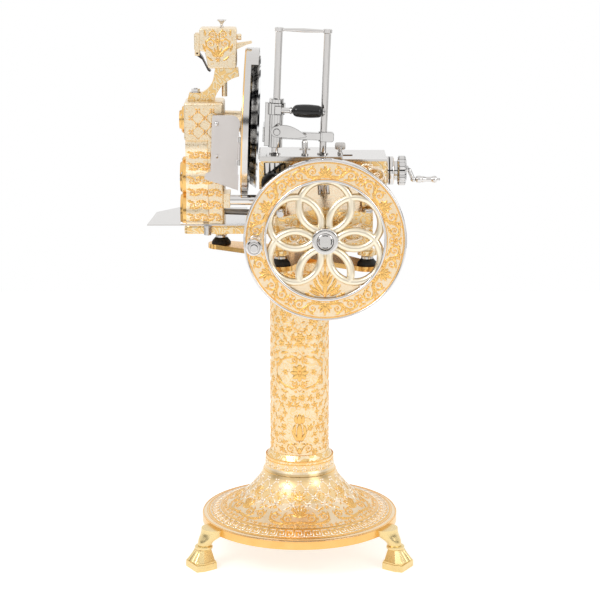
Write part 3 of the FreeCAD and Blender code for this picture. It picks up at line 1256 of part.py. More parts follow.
def carriage_bearings():
    """Four bored blocks that ride on the rails, each seated under a leg."""
    blocks = []
    half = BEARING_WIDTH / 2
    top = RAIL_Z + RAIL_RADIUS + 6
    for x in rail_lines():
        for y in BEARING_PLACES:
            block = box(x - half, x + half, y - BEARING_LENGTH / 2, y + BEARING_LENGTH / 2, RAIL_Z - 2, top)
            drum = rod(half, V(x, y - BEARING_LENGTH / 2, RAIL_Z), V(x, y + BEARING_LENGTH / 2, RAIL_Z))
            bore = rod(RAIL_RADIUS + RUNNING, V(x, y - 40, RAIL_Z), V(x, y + 40, RAIL_Z))
            blocks.append(fuse(block, drum).cut(bore))
    return blocks


def carriage_top_plate():
    """Bright plate on the carriage, on which the table slides."""
    plate = box(DECK_LEFT, CARRIAGE_RIGHT, CARRIAGE_FRONT - 2, CARRIAGE_REAR + 6, DECK_BOTTOM, DECK_TOP)
    slot = box(nut_left() - 6, nut_left() + FEED_NUT_LENGTH + FEED_TRAVEL + 6, FEED_Y - 12.5, FEED_Y + 12.5,
               DECK_BOTTOM - 1, DECK_TOP + 1)
    return plate.cut(slot)


def drive_pin():
    """Upright pin that hangs from the carriage down to the connecting rod, with a nut on each side."""
    low = ROD_Z + ROD_THICKNESS + SIDE_GAP
    spot = V(WHEEL_X, DRIVE_PIN_Y, 0)
    body = rod(DRIVE_PIN_RADIUS, spot + V(0, 0, low), spot + V(0, 0, 1004))
    neck = rod(DRIVE_PIN_NECK, spot + V(0, 0, ROD_Z - 1.5), spot + V(0, 0, 1026))
    washer = rod(DRIVE_PIN_NECK + 3, spot + V(0, 0, ROD_Z - SIDE_GAP - 1.5), spot + V(0, 0, ROD_Z - SIDE_GAP))
    bead = rod(DRIVE_PIN_RADIUS + 2, spot + V(0, 0, 966), spot + V(0, 0, 970))
    nuts = []
    for side in (-1, 1):
        start = V(WHEEL_X + side * (DRIVE_PIN_RADIUS - 2), DRIVE_PIN_Y, 982)
        nuts.append(rod(9, start, start + V(side * 12, 0, 0)))
    return fuse(body, neck, washer, bead, *nuts)


def table_plate():
    """Product table: flat plate with rounded corners and a round seat for each post."""
    plate = box(TABLE_LEFT, TABLE_RIGHT, TABLE_FRONT, TABLE_REAR, DECK_TOP, TABLE_TOP)
    plate = round_edges(plate, 4, lambda e: runs_along(e, Z_AXIS))
    plate = round_edges(plate, 1.5, lambda e: centre_of(e).z > TABLE_TOP - 0.1)
    for x in (POST_LEFT_X, POST_RIGHT_X):
        plate = plate.cut(rod(POST_FLANGE, post_foot(x) - V(0, 0, POST_SEAT), post_foot(x) + V(0, 0, 1)))
    return plate


def feed_nut():
    """Bronze nut under the table on the feed screw."""
    left = nut_left()
    block = box(left, left + FEED_NUT_LENGTH, FEED_Y - 12, FEED_Y + 12, FEED_Z - 14, DECK_TOP)
    return block.cut(rod(FEED_SCREW_RADIUS + RUNNING, V(left - 1, FEED_Y, FEED_Z),
                         V(left + FEED_NUT_LENGTH + 1, FEED_Y, FEED_Z)))


# ---------------------------------------------------------------- feed crank

def feed_collar():
    """Ring bearing on the carriage's end for the feed screw."""
    start = V(CARRIAGE_RIGHT, FEED_Y, FEED_Z)
    bore = FEED_SCREW_RADIUS + RUNNING
    length = FEED_COLLAR_LENGTH
    return turned([(bore, 0), (FEED_COLLAR_RADIUS, 0), (FEED_COLLAR_RADIUS, 4), (FEED_COLLAR_RADIUS - 1, 5),
                   (FEED_COLLAR_RADIUS - 1, 8),
                   (FEED_COLLAR_RADIUS, 9), (FEED_COLLAR_RADIUS, length - 2),
                   (FEED_COLLAR_RADIUS - 2, length), (bore, length)],
                  start, X_AXIS)


def feed_screw():
    """Screw from the carriage's left wall out to the handwheel."""
    left = CARRIAGE_LEFT + CARRIAGE_WALL + 2 + SIDE_GAP
    wheel_right = handwheel_left() + HANDWHEEL_WIDTH
    screw = rod(FEED_SCREW_RADIUS, V(CARRIAGE_LEFT + 1, FEED_Y, FEED_Z), V(wheel_right - 2, FEED_Y, FEED_Z))
    stop = rod(FEED_SCREW_RADIUS + 4, V(left - 2, FEED_Y, FEED_Z), V(left + 2, FEED_Y, FEED_Z))
    return fuse(screw, stop)


def handwheel_left():
    """Left face of the handwheel's hub."""
    return CARRIAGE_RIGHT + FEED_COLLAR_LENGTH + SIDE_GAP


def feed_handwheel():
    """Lobed handwheel with a neck towards the collar."""
    left = handwheel_left()
    neck = rod(FEED_NECK_RADIUS, V(left, FEED_Y, FEED_Z), V(left + FEED_NECK_LENGTH + 2, FEED_Y, FEED_Z))
    body_left = left + FEED_NECK_LENGTH
    body = turned([(0, 0), (HANDWHEEL_RADIUS - 10, 0), (HANDWHEEL_RADIUS - 6, 4),
                   (HANDWHEEL_RADIUS - 6, 18), (HANDWHEEL_RADIUS - 10, 22),
                   (0, 22)], V(body_left, FEED_Y, FEED_Z), X_AXIS)
    lobes = []
    for index in range(HANDWHEEL_LOBES):
        angle = math.radians(90 + 360 / HANDWHEEL_LOBES * index)
        reach = HANDWHEEL_RADIUS - 10
        spot = V(body_left + 1, FEED_Y + reach * math.cos(angle), FEED_Z + reach * math.sin(angle))
        lobe = turned([(0, 0), (7, 0), (10, 3), (10, 17), (7, 20), (0, 20)], spot, X_AXIS)
        lobes.append(lobe)
    wheel = fuse(neck, body, *lobes)
    return wheel.cut(rod(FEED_SCREW_RADIUS, V(left - 1, FEED_Y, FEED_Z),
                         V(left + HANDWHEEL_WIDTH - 2, FEED_Y, FEED_Z)))


def feed_arm_start():
    """Where the crank arm leaves the handwheel."""
    return V(handwheel_left() + FEED_NECK_LENGTH + 22, FEED_Y, FEED_Z + 4)


def feed_arm_end():
    """Where the crank arm meets the grip's spindle."""
    return feed_arm_start() + V(FEED_ARM_REACH, 0, -FEED_ARM_DROP - 4)


def feed_crank_arm():
    """Swan-necked arm with the fixed spindle of the grip."""
    start = feed_arm_start()
    end = feed_arm_end()
    knee = start + V(8, 0, -3)
    arm = fuse(rod(8, start - V(1, 0, 0), start + V(5, 0, 0)), rod(5.5, start, knee),
               Part.makeSphere(5.5, knee), rod(5.5, knee, end),
               Part.makeSphere(7, end))
    spindle = rod(3, end, end + V(FEED_GRIP_LENGTH + 8, 0, 0))
    arm = fuse(arm, spindle)
    return arm.cut(box(0, start.x, FEED_Y - 50, FEED_Y + 50, FEED_Z - 50, FEED_Z + 50))


def feed_grip():
    """Turned grip that ends in a ball."""
    start = feed_arm_end() + V(7 + SIDE_GAP, 0, 0)
    bore = 3 + RUNNING
    length = FEED_GRIP_LENGTH - 6
    profile = [(bore, 0), (7.5, 0), (FEED_GRIP_RADIUS, 3), (FEED_GRIP_RADIUS, 10), (7.5, 13),
               (FEED_GRIP_RADIUS - 1, 17),
               (6, 25), (6.5, 0.72 * length), (FEED_GRIP_RADIUS - 1, 0.8 * length),
               (FEED_GRIP_RADIUS, 0.88 * length),
               (FEED_GRIP_RADIUS - 1.5, 0.96 * length), (4.5, length), (bore, length)]
    return turned(profile, start, X_AXIS)


# ---------------------------------------------------------------- meat holder

def post_foot(x):
    """The point on the table where a post stands."""
    return V(x, POST_Y, TABLE_TOP)


def post_lean(shape, x=POST_LEFT_X):
    """Lean a piece of the holder about the foot of the left post."""
    leaning = shape.copy()
    leaning.rotate(post_foot(x), Y_AXIS, KNIFE_TILT)
    return leaning


def right_post_local():
    """X of the right post in the holder's upright frame."""
    return POST_LEFT_X + (POST_RIGHT_X - POST_LEFT_X) * math.cos(math.radians(KNIFE_TILT))


def holder_posts():
    """Two round posts with flanges, cut level on the table."""
    posts = []
    for x in (POST_LEFT_X, right_post_local()):
        post = rod(POST_RADIUS, V(x, POST_Y, TABLE_TOP - 20), V(x, POST_Y, TABLE_TOP + POST_HEIGHT))
        posts.append(post_lean(post))
    level = box(-400, 400, -400, 400, TABLE_TOP - 60, TABLE_TOP - POST_SEAT)
    whole = []
    for post, x in zip(posts, (POST_LEFT_X, POST_RIGHT_X)):
        flange = turned([(0, -POST_SEAT), (POST_FLANGE, -POST_SEAT), (POST_FLANGE, 2.5), (POST_FLANGE - 2, 4),
                         (0, 4)], post_foot(x), Z_AXIS)
        whole.append(fuse(post.cut(level), flange))
    return whole


def post_caps():
    """Round caps on the posts, joined by their tie rod."""
    top = TABLE_TOP + POST_HEIGHT
    right = right_post_local()
    caps = []
    for x in (POST_LEFT_X, right):
        caps.append(turned([(0, 0), (CAP_RADIUS - 2, 0), (CAP_RADIUS, 2), (CAP_RADIUS, CAP_HEIGHT - 2),
                            (CAP_RADIUS - 2, CAP_HEIGHT),
                            (0, CAP_HEIGHT)], V(x, POST_Y, top), Z_AXIS))
    bar = rod(TIE_ROD_RADIUS, V(POST_LEFT_X, POST_Y, top + CAP_HEIGHT / 2),
              V(right, POST_Y, top + CAP_HEIGHT / 2))
    swell = turned([(0, 0), (TIE_ROD_RADIUS, 4), (TIE_ROD_RADIUS + 2, 0.5 * (right - POST_LEFT_X)),
                    (TIE_ROD_RADIUS, right - POST_LEFT_X - 4),
                    (0, right - POST_LEFT_X)], V(POST_LEFT_X, POST_Y, top + CAP_HEIGHT / 2), X_AXIS)
    return post_lean(fuse(bar, swell, *caps))


def clamp_bar():
    """Sliding crosspiece with an eye on each post and a body on the left one."""
    right = right_post_local()
    low = CLAMP_BAR_Z
    high = CLAMP_BAR_Z + CLAMP_BAR_HEIGHT
    eye = POST_RADIUS + CLAMP_WALL
    bar = box(POST_LEFT_X, right, POST_Y - 9, POST_Y + 9, low + 3, high - 3)
    end = box(right, right + eye + 8, POST_Y - 12, POST_Y + 12, low, high)
    end = round_edges(end, 6, lambda e: runs_along(e, Y_AXIS) and centre_of(e).x > right + 5)
    sleeve = rod(eye, V(POST_LEFT_X, POST_Y, low - 18), V(POST_LEFT_X, POST_Y, CLAMP_BODY_TOP))
    belt = rod(eye + 4, V(POST_LEFT_X, POST_Y, CLAMP_BODY_TOP - 38),
               V(POST_LEFT_X, POST_Y, CLAMP_BODY_TOP - 10))
    right_eye = rod(12, V(right, POST_Y, low), V(right, POST_Y, high))
    jaw_arm = box(POST_LEFT_X - eye - 10, POST_LEFT_X - 4, POST_Y - 8, POST_Y + 8, low - 16,
                  CLAMP_BODY_TOP - 10)
    stub = rod(7, V(POST_LEFT_X, POST_Y - 18, GRIP_Z), V(POST_LEFT_X + eye + 16, POST_Y - 18, GRIP_Z))
    ear = box(POST_LEFT_X - 4, POST_LEFT_X + 12, POST_Y - 25, POST_Y, GRIP_Z - 10, GRIP_Z + 10)
    lever_boss = rod(9, V(LEVER_X, POST_Y - LEVER_BOSS, LEVER_Z), V(LEVER_X, POST_Y, LEVER_Z))
    body = fuse(bar, end, sleeve, belt, right_eye, jaw_arm, stub, ear, lever_boss)
    bores = [rod(POST_RADIUS + RUNNING, V(x, POST_Y, low - 60),
                 V(x, POST_Y, CLAMP_BODY_TOP + 60)) for x in (POST_LEFT_X, right)]
    bores.append(rod(GRIP_SPINDLE, V(POST_LEFT_X + eye, POST_Y - 18, GRIP_Z),
                     V(POST_LEFT_X + eye + 40, POST_Y - 18, GRIP_Z)))
    bores.append(rod(LEVER_PIN, V(LEVER_X, POST_Y - 40, LEVER_Z), V(LEVER_X, POST_Y - 10, LEVER_Z)))
    for bore in bores:
        body = body.cut(bore)
    return post_lean(body)


def clamp_jaw():
    """Toothed pressure plate that reaches over the table."""
    left = POST_LEFT_X - POST_RADIUS - CLAMP_WALL - 10
    low = CLAMP_BAR_Z - 16
    plate = box(left - 4, left, POST_Y - 8, POST_Y - 8 + JAW_DEPTH, low + 10, CLAMP_BAR_Z + 30)
    foot = box(left - 4, left + 14, POST_Y + 19, POST_Y - 8 + JAW_DEPTH, low + 6, low + 12)
    teeth = []
    for index in range(JAW_TEETH):
        y = POST_Y + 26 + index * 11
        teeth.append(Part.makeCone(3.2, 0.6, 12, V(left + 5, y, low + 7), V(0, 0, -1)))
    return post_lean(fuse(plate, foot, *teeth))


def grip_start():
    """Left end of the black grip."""
    return V(POST_LEFT_X + POST_RADIUS + CLAMP_WALL + 16, POST_Y - 18, GRIP_Z)


def clamp_grip_spindle():
    """Spindle of the black grip, with a ferrule at each end."""
    start = grip_start()
    end = start + V(GRIP_LENGTH + 8, 0, 0)
    pin = rod(GRIP_SPINDLE, start - V(10, 0, 0), end)
    ferrule = turned([(GRIP_SPINDLE, 0), (8, 0), (9, 3), (7, 6), (GRIP_SPINDLE, 6)], start, X_AXIS)
    button = turned([(0, 0), (8, 0), (9.5, 3), (7, 6), (0, 7)], end - V(2, 0, 0), X_AXIS)
    return post_lean(fuse(pin, ferrule, button))


def clamp_grip():
    """Black oval grip that turns on its spindle."""
    start = grip_start() + V(6 + SIDE_GAP, 0, 0)
    length = GRIP_LENGTH - 2 * SIDE_GAP
    bore = GRIP_SPINDLE + RUNNING
    half = length / 2
    shoulder = GRIP_RADIUS - 1.5
    low_end = Part.Arc(V(6.5, 0, 0), V(11.5, 0, 3.5), V(shoulder, 0, 12)).toShape()
    middle = Part.Arc(V(shoulder, 0, 12), V(GRIP_RADIUS, 0, half), V(shoulder, 0, length - 12)).toShape()
    high_end = Part.Arc(V(shoulder, 0, length - 12), V(11.5, 0, length - 3.5), V(6.5, 0, length)).toShape()
    rest = Part.makePolygon([V(6.5, 0, length), V(bore, 0, length), V(bore, 0, 0), V(6.5, 0, 0)])
    profile = Part.Face(Part.Wire([low_end, middle, high_end] + rest.Edges))
    grip = profile.revolve(V(0, 0, 0), Z_AXIS, 360)
    grip.Placement = FreeCAD.Placement(start, FreeCAD.Rotation(Z_AXIS, X_AXIS))
    return post_lean(grip)


def clamp_lever():
    """Teardrop cam lever that locks the clamp."""
    front = POST_Y - LEVER_BOSS - SIDE_GAP
    head = Part.Arc(V(LEVER_X - 2, front, LEVER_Z + 14), V(LEVER_X - 15, front, LEVER_Z),
                    V(LEVER_X - 2, front, LEVER_Z - 13)).toShape()
    top = smooth_line([V(LEVER_X - 2, front, LEVER_Z + 14), V(LEVER_X + 24, front, LEVER_Z + 17),
                       V(LEVER_X + 52, front, LEVER_Z + 7),
                       V(LEVER_X + 74, front, LEVER_Z - 9)])
    low = smooth_line([V(LEVER_X + 74, front, LEVER_Z - 9), V(LEVER_X + 50, front, LEVER_Z - 14),
                       V(LEVER_X + 24, front, LEVER_Z - 14),
                       V(LEVER_X - 2, front, LEVER_Z - 13)])
    plate = Part.Face(Part.Wire([head, top, low])).extrude(V(0, -7, 0))
    pin = rod(LEVER_PIN - RUNNING, V(LEVER_X, front - 3, LEVER_Z), V(LEVER_X, POST_Y - 10, LEVER_Z))
    boss = rod(8, V(LEVER_X, front - 10, LEVER_Z), V(LEVER_X, front - 6, LEVER_Z))
    return post_lean(fuse(plate, pin, boss))


def table_stop():
    """Small stud on the table with a cross pin."""
    spot = V(13, POST_Y - 17, TABLE_TOP)
    stud = turned([(0, 0), (9, 0), (9, 3), (5.5, 5), (5.5, 16), (7.5, 18), (7.5, 32), (6, 36), (0, 37)],
                  spot, Z_AXIS)
    pin = rod(2, spot + V(-13, 0, 14), spot + V(13, 0, 14))
    return fuse(stud, pin)


def thumb_screw():
    """Wing screw on the table's right side."""
    spot = V(100, POST_Y, TABLE_TOP)
    stem = turned([(0, 0), (7, 0), (7, 4), (5, 6), (5, 18), (0, 18)], spot, Z_AXIS)
    wing = box(spot.x - 13, spot.x + 13, POST_Y - 2.5, POST_Y + 2.5, TABLE_TOP + 11, TABLE_TOP + 29)
    wing = round_edges(wing, 5, lambda e: runs_along(e, Y_AXIS))
    return fuse(stem, wing)


# ---------------------------------------------------------------- thickness knob

def thickness_knob():
    """Black knob with a milled edge and a bright cross strip, on its spindle."""
    face = CARRIAGE_FRONT - SIDE_GAP
    knob = turned([(0, 0), (KNOB_RADIUS - 3, 0), (KNOB_RADIUS, 2), (KNOB_RADIUS, KNOB_WIDTH - 3),
                   (KNOB_RADIUS - 3, KNOB_WIDTH),
                   (0, KNOB_WIDTH)], V(KNOB_X, face - 4, KNOB_Z), V(0, -1, 0))
    grooves = []
    for index in range(12):
        angle = math.radians(30 * index)
        spot = V(KNOB_X + (KNOB_RADIUS + 1.4) * math.cos(angle), face - 3,
                 KNOB_Z + (KNOB_RADIUS + 1.4) * math.sin(angle))
        grooves.append(rod(3, spot, spot - V(0, KNOB_WIDTH + 3, 0)))
    for groove in grooves:
        knob = knob.cut(groove)
    spindle = rod(KNOB_SPINDLE, V(KNOB_X, face - 6, KNOB_Z), V(KNOB_X, CARRIAGE_FRONT + 11, KNOB_Z))
    collar = rod(9, V(KNOB_X, face - 5, KNOB_Z), V(KNOB_X, face, KNOB_Z))
    return fuse(knob, spindle, collar)


def thickness_pointer():
    """Three-holed triangular pointer above the knob."""
    face = CARRIAGE_FRONT + 1
    low = KNOB_Z + 22
    plate = front_prism([(KNOB_X - 9, low), (KNOB_X + 20, low), (KNOB_X + 13, low + 27),
                         (KNOB_X + 3, low + 27)], face - 4, face)
    for x, z in ((KNOB_X + 2, low + 6), (KNOB_X + 12, low + 6), (KNOB_X + 7, low + 17)):
        plate = plate.cut(rod(2.2, V(x, face - 6, z), V(x, face + 2, z)))
    return plate


# ---------------------------------------------------------------- sharpener

def sharpener_bracket():
    """Curved arm from the tower's top up to the sharpener's seat."""
    z0 = TOWER_TOP
    left = TOWER_LEFT + 8
    outline = [Part.makePolygon([V(-218, 0, z0), V(left, 0, z0), V(left + 4, 0, z0 + 20),
                                 V(-250, 0, z0 + 20)]),
               Part.Wire(Part.Arc(V(-250, 0, z0 + 20), V(-231, 0, z0 + 34), V(-219, 0, z0 + 60)).toShape()),
               Part.makePolygon([V(-219, 0, z0 + 60), V(-215, 0, HEAD_BOTTOM), V(-157, 0, HEAD_BOTTOM),
                                 V(-155, 0, HEAD_BOTTOM - 22)]),
               Part.Wire(Part.Arc(V(-155, 0, HEAD_BOTTOM - 22), V(-199, 0, z0 + 36),
                                  V(-218, 0, z0)).toShape())]
    edges = [edge for wire in outline for edge in wire.Edges]
    face = Part.Face(Part.Wire(edges))
    face.translate(V(0, SHARP_Y - BRACKET_WIDTH / 2, 0))
    arm = face.extrude(V(0, BRACKET_WIDTH, 0))
    return arm.cut(rod(GUIDE_ROD_RADIUS + RUNNING, V(GUIDE_ROD_X, SHARP_Y, z0 - 5),
                       V(GUIDE_ROD_X, SHARP_Y, HEAD_BOTTOM + 5)))


def bracket_nut():
    """Hexagon nut and washer on the bracket's foot."""
    spot = V(-266, SHARP_Y, TOWER_TOP + 20)
    washer = rod(14, spot, spot + V(0, 0, 2))
    corners = []
    for index in range(6):
        angle = math.radians(60 * index)
        corners.append(spot + V(11 * math.cos(angle), 11 * math.sin(angle), 2))
    hexagon = prism(corners, V(0, 0, 7))
    tip = rod(5, spot + V(0, 0, 8), spot + V(0, 0, 11))
    return fuse(washer, hexagon, tip)


def sharpener_head():
    """Rounded housing with a lug, a slanted lower corner, a guide rod and a reaching arm."""
    y0 = SHARP_Y - HEAD_DEPTH / 2
    y1 = SHARP_Y + HEAD_DEPTH / 2
    low = HEAD_BOTTOM + SIDE_GAP
    corner = HEAD_BOTTOM + 44.5
    outline = [(HEAD_LEFT + 22, low), (HEAD_RIGHT, low), (HEAD_RIGHT, HEAD_TOP), (HEAD_LEFT, HEAD_TOP),
               (HEAD_LEFT, corner), (HEAD_LEFT + 14, corner - 2)]
    body = front_prism(outline, y0, y1)
    body = round_edges(body, 7, lambda e: runs_along(e, Y_AXIS))
    body = round_edges(body, 3, lambda e: abs(centre_of(e).y - y0) < 0.1 or abs(centre_of(e).y - y1) < 0.1)
    lug = box(HEAD_LEFT - 14, HEAD_LEFT + 4, SHARP_Y - 21, SHARP_Y + 21, corner + 1, HEAD_TOP - 14)
    lug = round_edges(lug, 5, lambda e: centre_of(e).x < HEAD_LEFT - 5)
    guide = rod(GUIDE_ROD_RADIUS, V(GUIDE_ROD_X, SHARP_Y, TOWER_TOP + 10), V(GUIDE_ROD_X, SHARP_Y, low + 6))
    reach = HEAD_RIGHT + 39
    arm = front_prism([(HEAD_RIGHT - 3, corner + 1), (HEAD_RIGHT - 3, corner + 17), (reach - 2, corner + 23),
                       (reach, corner + 18), (reach - 14, corner + 14)], SHARP_Y - 11, SHARP_Y + 11)
    gap = FLAP_WIDTH / 2 + SIDE_GAP
    ears = [box(FLAP_X - 6, FLAP_X + 6, SHARP_Y - gap - 5, SHARP_Y - gap, FLAP_Z - 6, corner + 5),
            box(FLAP_X - 6, FLAP_X + 6, SHARP_Y + gap, SHARP_Y + gap + 5, FLAP_Z - 6, corner + 5)]
    side_knob = turned([(0, 0), (5, 0), (5, 2), (8, 3), (8, 11), (6.5, 13), (0, 13)],
                       V(HEAD_RIGHT - 1, SHARP_Y, HEAD_TOP - 24), X_AXIS)
    body = fuse(body, lug, guide, arm, side_knob, *ears)
    stem_low = V(SHARP_KNOB_X, SHARP_Y, HEAD_TOP - 30)
    body = body.cut(rod(KNOB_STEM + RUNNING, stem_low, stem_low + V(0, 0, 35)))
    pin_start = V(FLAP_X, SHARP_Y - 40, FLAP_Z)
    body = body.cut(rod(FLAP_PIN + RUNNING, pin_start, pin_start + V(0, 80, 0)))
    window = box(HEAD_RIGHT - 24, HEAD_RIGHT + 1, SHARP_Y - 22, SHARP_Y + 22, STONE_Z - 14, STONE_Z + 14)
    return body.cut(window)


def sharpener_knob():
    """Trumpet-shaped knob that feeds the stones."""
    start = V(SHARP_KNOB_X, SHARP_Y, HEAD_TOP - 28)
    top = 28 + SIDE_GAP
    profile = [(0, 0), (KNOB_STEM, 0), (KNOB_STEM, top), (5, top), (5, top + 2.5), (3.2, top + 5),
               (3.6, top + 9), (7, top + 14), (11.5, top + 17.5),
               (12, top + 19.5), (7, top + 20.5), (0, top + 20.5)]
    return turned(profile, start, Z_AXIS)


def sharpener_stones():
    """Two round stones in the head's window, on their bracket."""
    stones = []
    for y in (SHARP_Y - 11, SHARP_Y + 11):
        spot = V(HEAD_RIGHT - 24, y, STONE_Z)
        spindle = rod(3, spot, spot + V(9, 0, 0))
        stone = turned([(0, 0), (10, 0), (10, 11), (8.5, 12.5), (0, 12.5)], spot + V(8, 0, 0), X_AXIS)
        stones.append(fuse(spindle, stone))
    return stones


def sharpener_flap():
    """Curved release lever on a pin between the head's ears."""
    y0 = SHARP_Y - FLAP_WIDTH / 2
    y1 = SHARP_Y + FLAP_WIDTH / 2
    steps = [(-4, 2), (-5, -2), (-1, -7), (12, -16), (26, -44), (31, -47.5), (34, -46), (24, -34),
             (14, -12), (5, 1)]
    plate = front_prism([(FLAP_X + x, FLAP_Z + z) for x, z in steps], y0, y1)
    barrel = rod(5, V(FLAP_X, y0, FLAP_Z), V(FLAP_X, y1, FLAP_Z))
    pin = rod(FLAP_PIN, V(FLAP_X, y0 - 5, FLAP_Z), V(FLAP_X, y1 + 5, FLAP_Z))
    return fuse(plate, barrel, pin)


# ---------------------------------------------------------------- tray, deflector, bar

def receiving_tray():
    """Thin plate on the slab, cut round the tower, with a chamfered rear corner."""
    outline = [(TRAY_LEFT, TRAY_FRONT), (TRAY_RIGHT, TRAY_FRONT), (TRAY_RIGHT, TRAY_REAR),
               (TRAY_LEFT + 69, TRAY_REAR), (TRAY_LEFT + 12, 216)]
    plate = prism([V(x, y, SLAB_TOP) for x, y in outline], V(0, 0, TRAY_THICKNESS))
    gap = CURVED_GAP
    hole = box(TOWER_LEFT - 14, TOWER_RIGHT + gap, TOWER_FRONT - gap, TOWER_REAR + gap, SLAB_TOP - 1,
               SLAB_TOP + 9)
    return plate.cut(hole)


def tray_peg():
    """Locating peg under the tray's front lip."""
    spot = V(-236, TRAY_FRONT + 6, SLAB_TOP)
    return turned([(0, 0), (12, 0), (12, 4), (10, 5), (10, 24), (8.5, 25.5), (0, 25.5)], spot, V(0, 0, -1))


def guide_bar():
    """Bright round bar between the tower and the base."""
    return rod(GUIDE_BAR_RADIUS, V(TOWER_RIGHT + 16, GUIDE_BAR_Y, BAR_Z), V(CASE_LEFT, GUIDE_BAR_Y, BAR_Z))


def bar_bracket():
    """Arm that carries the guide bar on the tower's column."""
    front = GUIDE_BAR_Y - GUIDE_BAR_RADIUS - 4
    return box(TOWER_RIGHT, TOWER_RIGHT + 16, front, TOWER_FRONT + 30, BAR_Z - 18, BAR_Z + 18)


def is_top_corner(edge):
    """Whether an edge is one of the deflector's two upper corners."""
    return runs_along(edge, Y_AXIS) and centre_of(edge).z > 1100


def slice_deflector():
    """Satin plate beside the knife that turns slices down onto the tray, with its hinge barrel."""
    y = DEFLECTOR_Y - DEFLECTOR_THICKNESS / 2
    axis = hinge_point(0).x
    outline = [(-231, 1135), (-231, 992), (-244, 985), (-246, 972), (axis, 946), (axis, 1138)]
    plate = front_prism(outline, y, y + DEFLECTOR_THICKNESS)
    plate = round_edges(plate, 6, lambda e: is_top_corner(e) and centre_of(e).x < -200)
    plate = round_edges(plate, 22, lambda e: is_top_corner(e) and centre_of(e).x > -170)
    for x, z, radius in ((-218, 1113, 4), (-215, 1028, 2.4)):
        plate = plate.cut(rod(radius, V(x, y - 1, z), V(x, y + 5, z)))
    gaps = [rod(HINGE_RADIUS + 1, hinge_point(HINGE_Z - HINGE_HALF - 14), hinge_point(HINGE_Z - HINGE_HALF)),
            rod(HINGE_RADIUS + 1, hinge_point(HINGE_Z + HINGE_HALF), hinge_point(HINGE_Z + HINGE_HALF + 14))]
    for gap in gaps:
        plate = plate.cut(gap)
    barrel = rod(HINGE_RADIUS, hinge_point(HINGE_Z - HINGE_HALF), hinge_point(HINGE_Z + HINGE_HALF))
    body = fuse(plate, barrel)
    return lean(body.cut(rod(HINGE_PIN + RUNNING, hinge_point(HINGE_Z - 60), hinge_point(HINGE_Z + 60))))


# ---------------------------------------------------------------- build

def build_pedestal():
    """Write the pedestal's pieces."""
    save("pedestal_feet", *[pedestal_foot(angle) for angle in FOOT_ANGLES])
    save("pedestal_base", pedestal_base())
    save("column_collar", column_collar())
    save("pedestal_column", pedestal_column())
    save("pedestal_top_plate", pedestal_top_plate())


def build_base():
    """Write the base, its feet, rails and shaft bearings."""
    save("rubber_feet", *rubber_feet())
    save("foot_studs", *foot_studs())
    save("base_casting", base_casting())
    save("slide_rails", *[rail(x) for x in rail_lines()])
    save("rail_clamps", *rail_clamps())
    save("front_shaft_bush", front_shaft_bush())
    save("crank_bearing_block", crank_bearing_block())


def build_flywheel():
    """Write the flywheel, main shaft and the gears on it."""
    save("flywheel_casting", flywheel_casting())
    save("flywheel_bands", flywheel_outer_band(), flywheel_inner_band())
    save("hub_cap", hub_cap())
    save("handle_spindle", handle_spindle())
    save("wheel_handle_grip", wheel_handle_grip())
    save("main_shaft", main_shaft())
    save("main_bevel_gear", main_bevel_gear())
    save("crank_pinion", crank_pinion())
    save("crank_gear", crank_gear())
    save("connecting_rod", connecting_rod())


def build_tower():
    """Write the tower, its covers and the gear train."""
    save("gear_tower", fuse(gear_tower(), bar_bracket(), knife_bearing_housing(), *idler_studs()))
    save("lower_gear_cover", lower_gear_cover())
    save("upper_gear_cover", upper_gear_cover())
    save("fixing_screws", *plate_screws(), *cover_screws(), bracket_nut())
    save("cross_shaft", cross_shaft())
    save("cross_bevel_pinion", cross_bevel_pinion())
    save("tower_drive_gear", tower_drive_gear())
    save("idler_gear_lower", idler_gear_lower())
    save("idler_gear_upper", idler_gear_upper())
    save("knife_pinion", knife_pinion())


def build_knife():
    """Write the knife, guard and deflector."""
    save("knife_shaft", knife_shaft())
    save("knife_blade", knife_blade())
    save("knife_clamp_disc", knife_clamp_disc())
    save("guard_back_plate", guard_back_plate())
    save("knife_guard_ring", knife_guard_ring())
    save("slice_deflector", slice_deflector())


def build_carriage():
    """Write the carriage, the table and the feed."""
    save("carriage_body", fuse(carriage_body(), feed_collar(), thickness_pointer()))
    save("carriage_bearings", *carriage_bearings())
    save("carriage_top_plate", carriage_top_plate())
    save("drive_pin", drive_pin())
    save("table_plate", fuse(table_plate(), table_stop(), thumb_screw()))
    save("feed_nut", feed_nut())
    save("feed_screw", feed_screw())
    save("feed_handwheel", fuse(feed_handwheel(), feed_crank_arm()))
    save("feed_grip", feed_grip())
    save("thickness_knob", thickness_knob())


def build_holder():
    """Write the meat holder."""
    save("holder_posts", fuse(post_caps(), *holder_posts()))
    save("clamp_bar", fuse(clamp_bar(), clamp_grip_spindle()))
    save("clamp_jaw", clamp_jaw())
    save("clamp_grip", clamp_grip())
    save("clamp_lever", clamp_lever())


def build_sharpener():
    """Write the sharpener on the tower's top."""
    save("sharpener_bracket", sharpener_bracket())
    save("sharpener_head", sharpener_head())
    save("sharpener_knob", sharpener_knob())
    save("sharpener_stones", *sharpener_stones())
    save("sharpener_flap", sharpener_flap())


def build_tray():
    """Write the tray and the bar in front of the tower."""
    save("receiving_tray", fuse(receiving_tray(), tray_peg()))
    save("guide_bar", guide_bar())


def main():
    """Write every node of the machine."""
    os.makedirs("parts", exist_ok=True)
    build_pedestal()
    build_base()
    build_flywheel()
    build_tower()
    build_knife()
    build_carriage()
    build_holder()
    build_sharpener()
    build_tray()


main()
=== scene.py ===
"""Looks of the hand cranked meat slicer on its pedestal, in metres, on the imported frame.

Each sub-assembly is a class. It reads its places from the frame, builds the pieces that the solids
leave out, and gives each solid and each piece its finish. Ornament is drawn flat, in millimetres,
as raised strokes, and is then laid on the surface that carries it.
"""

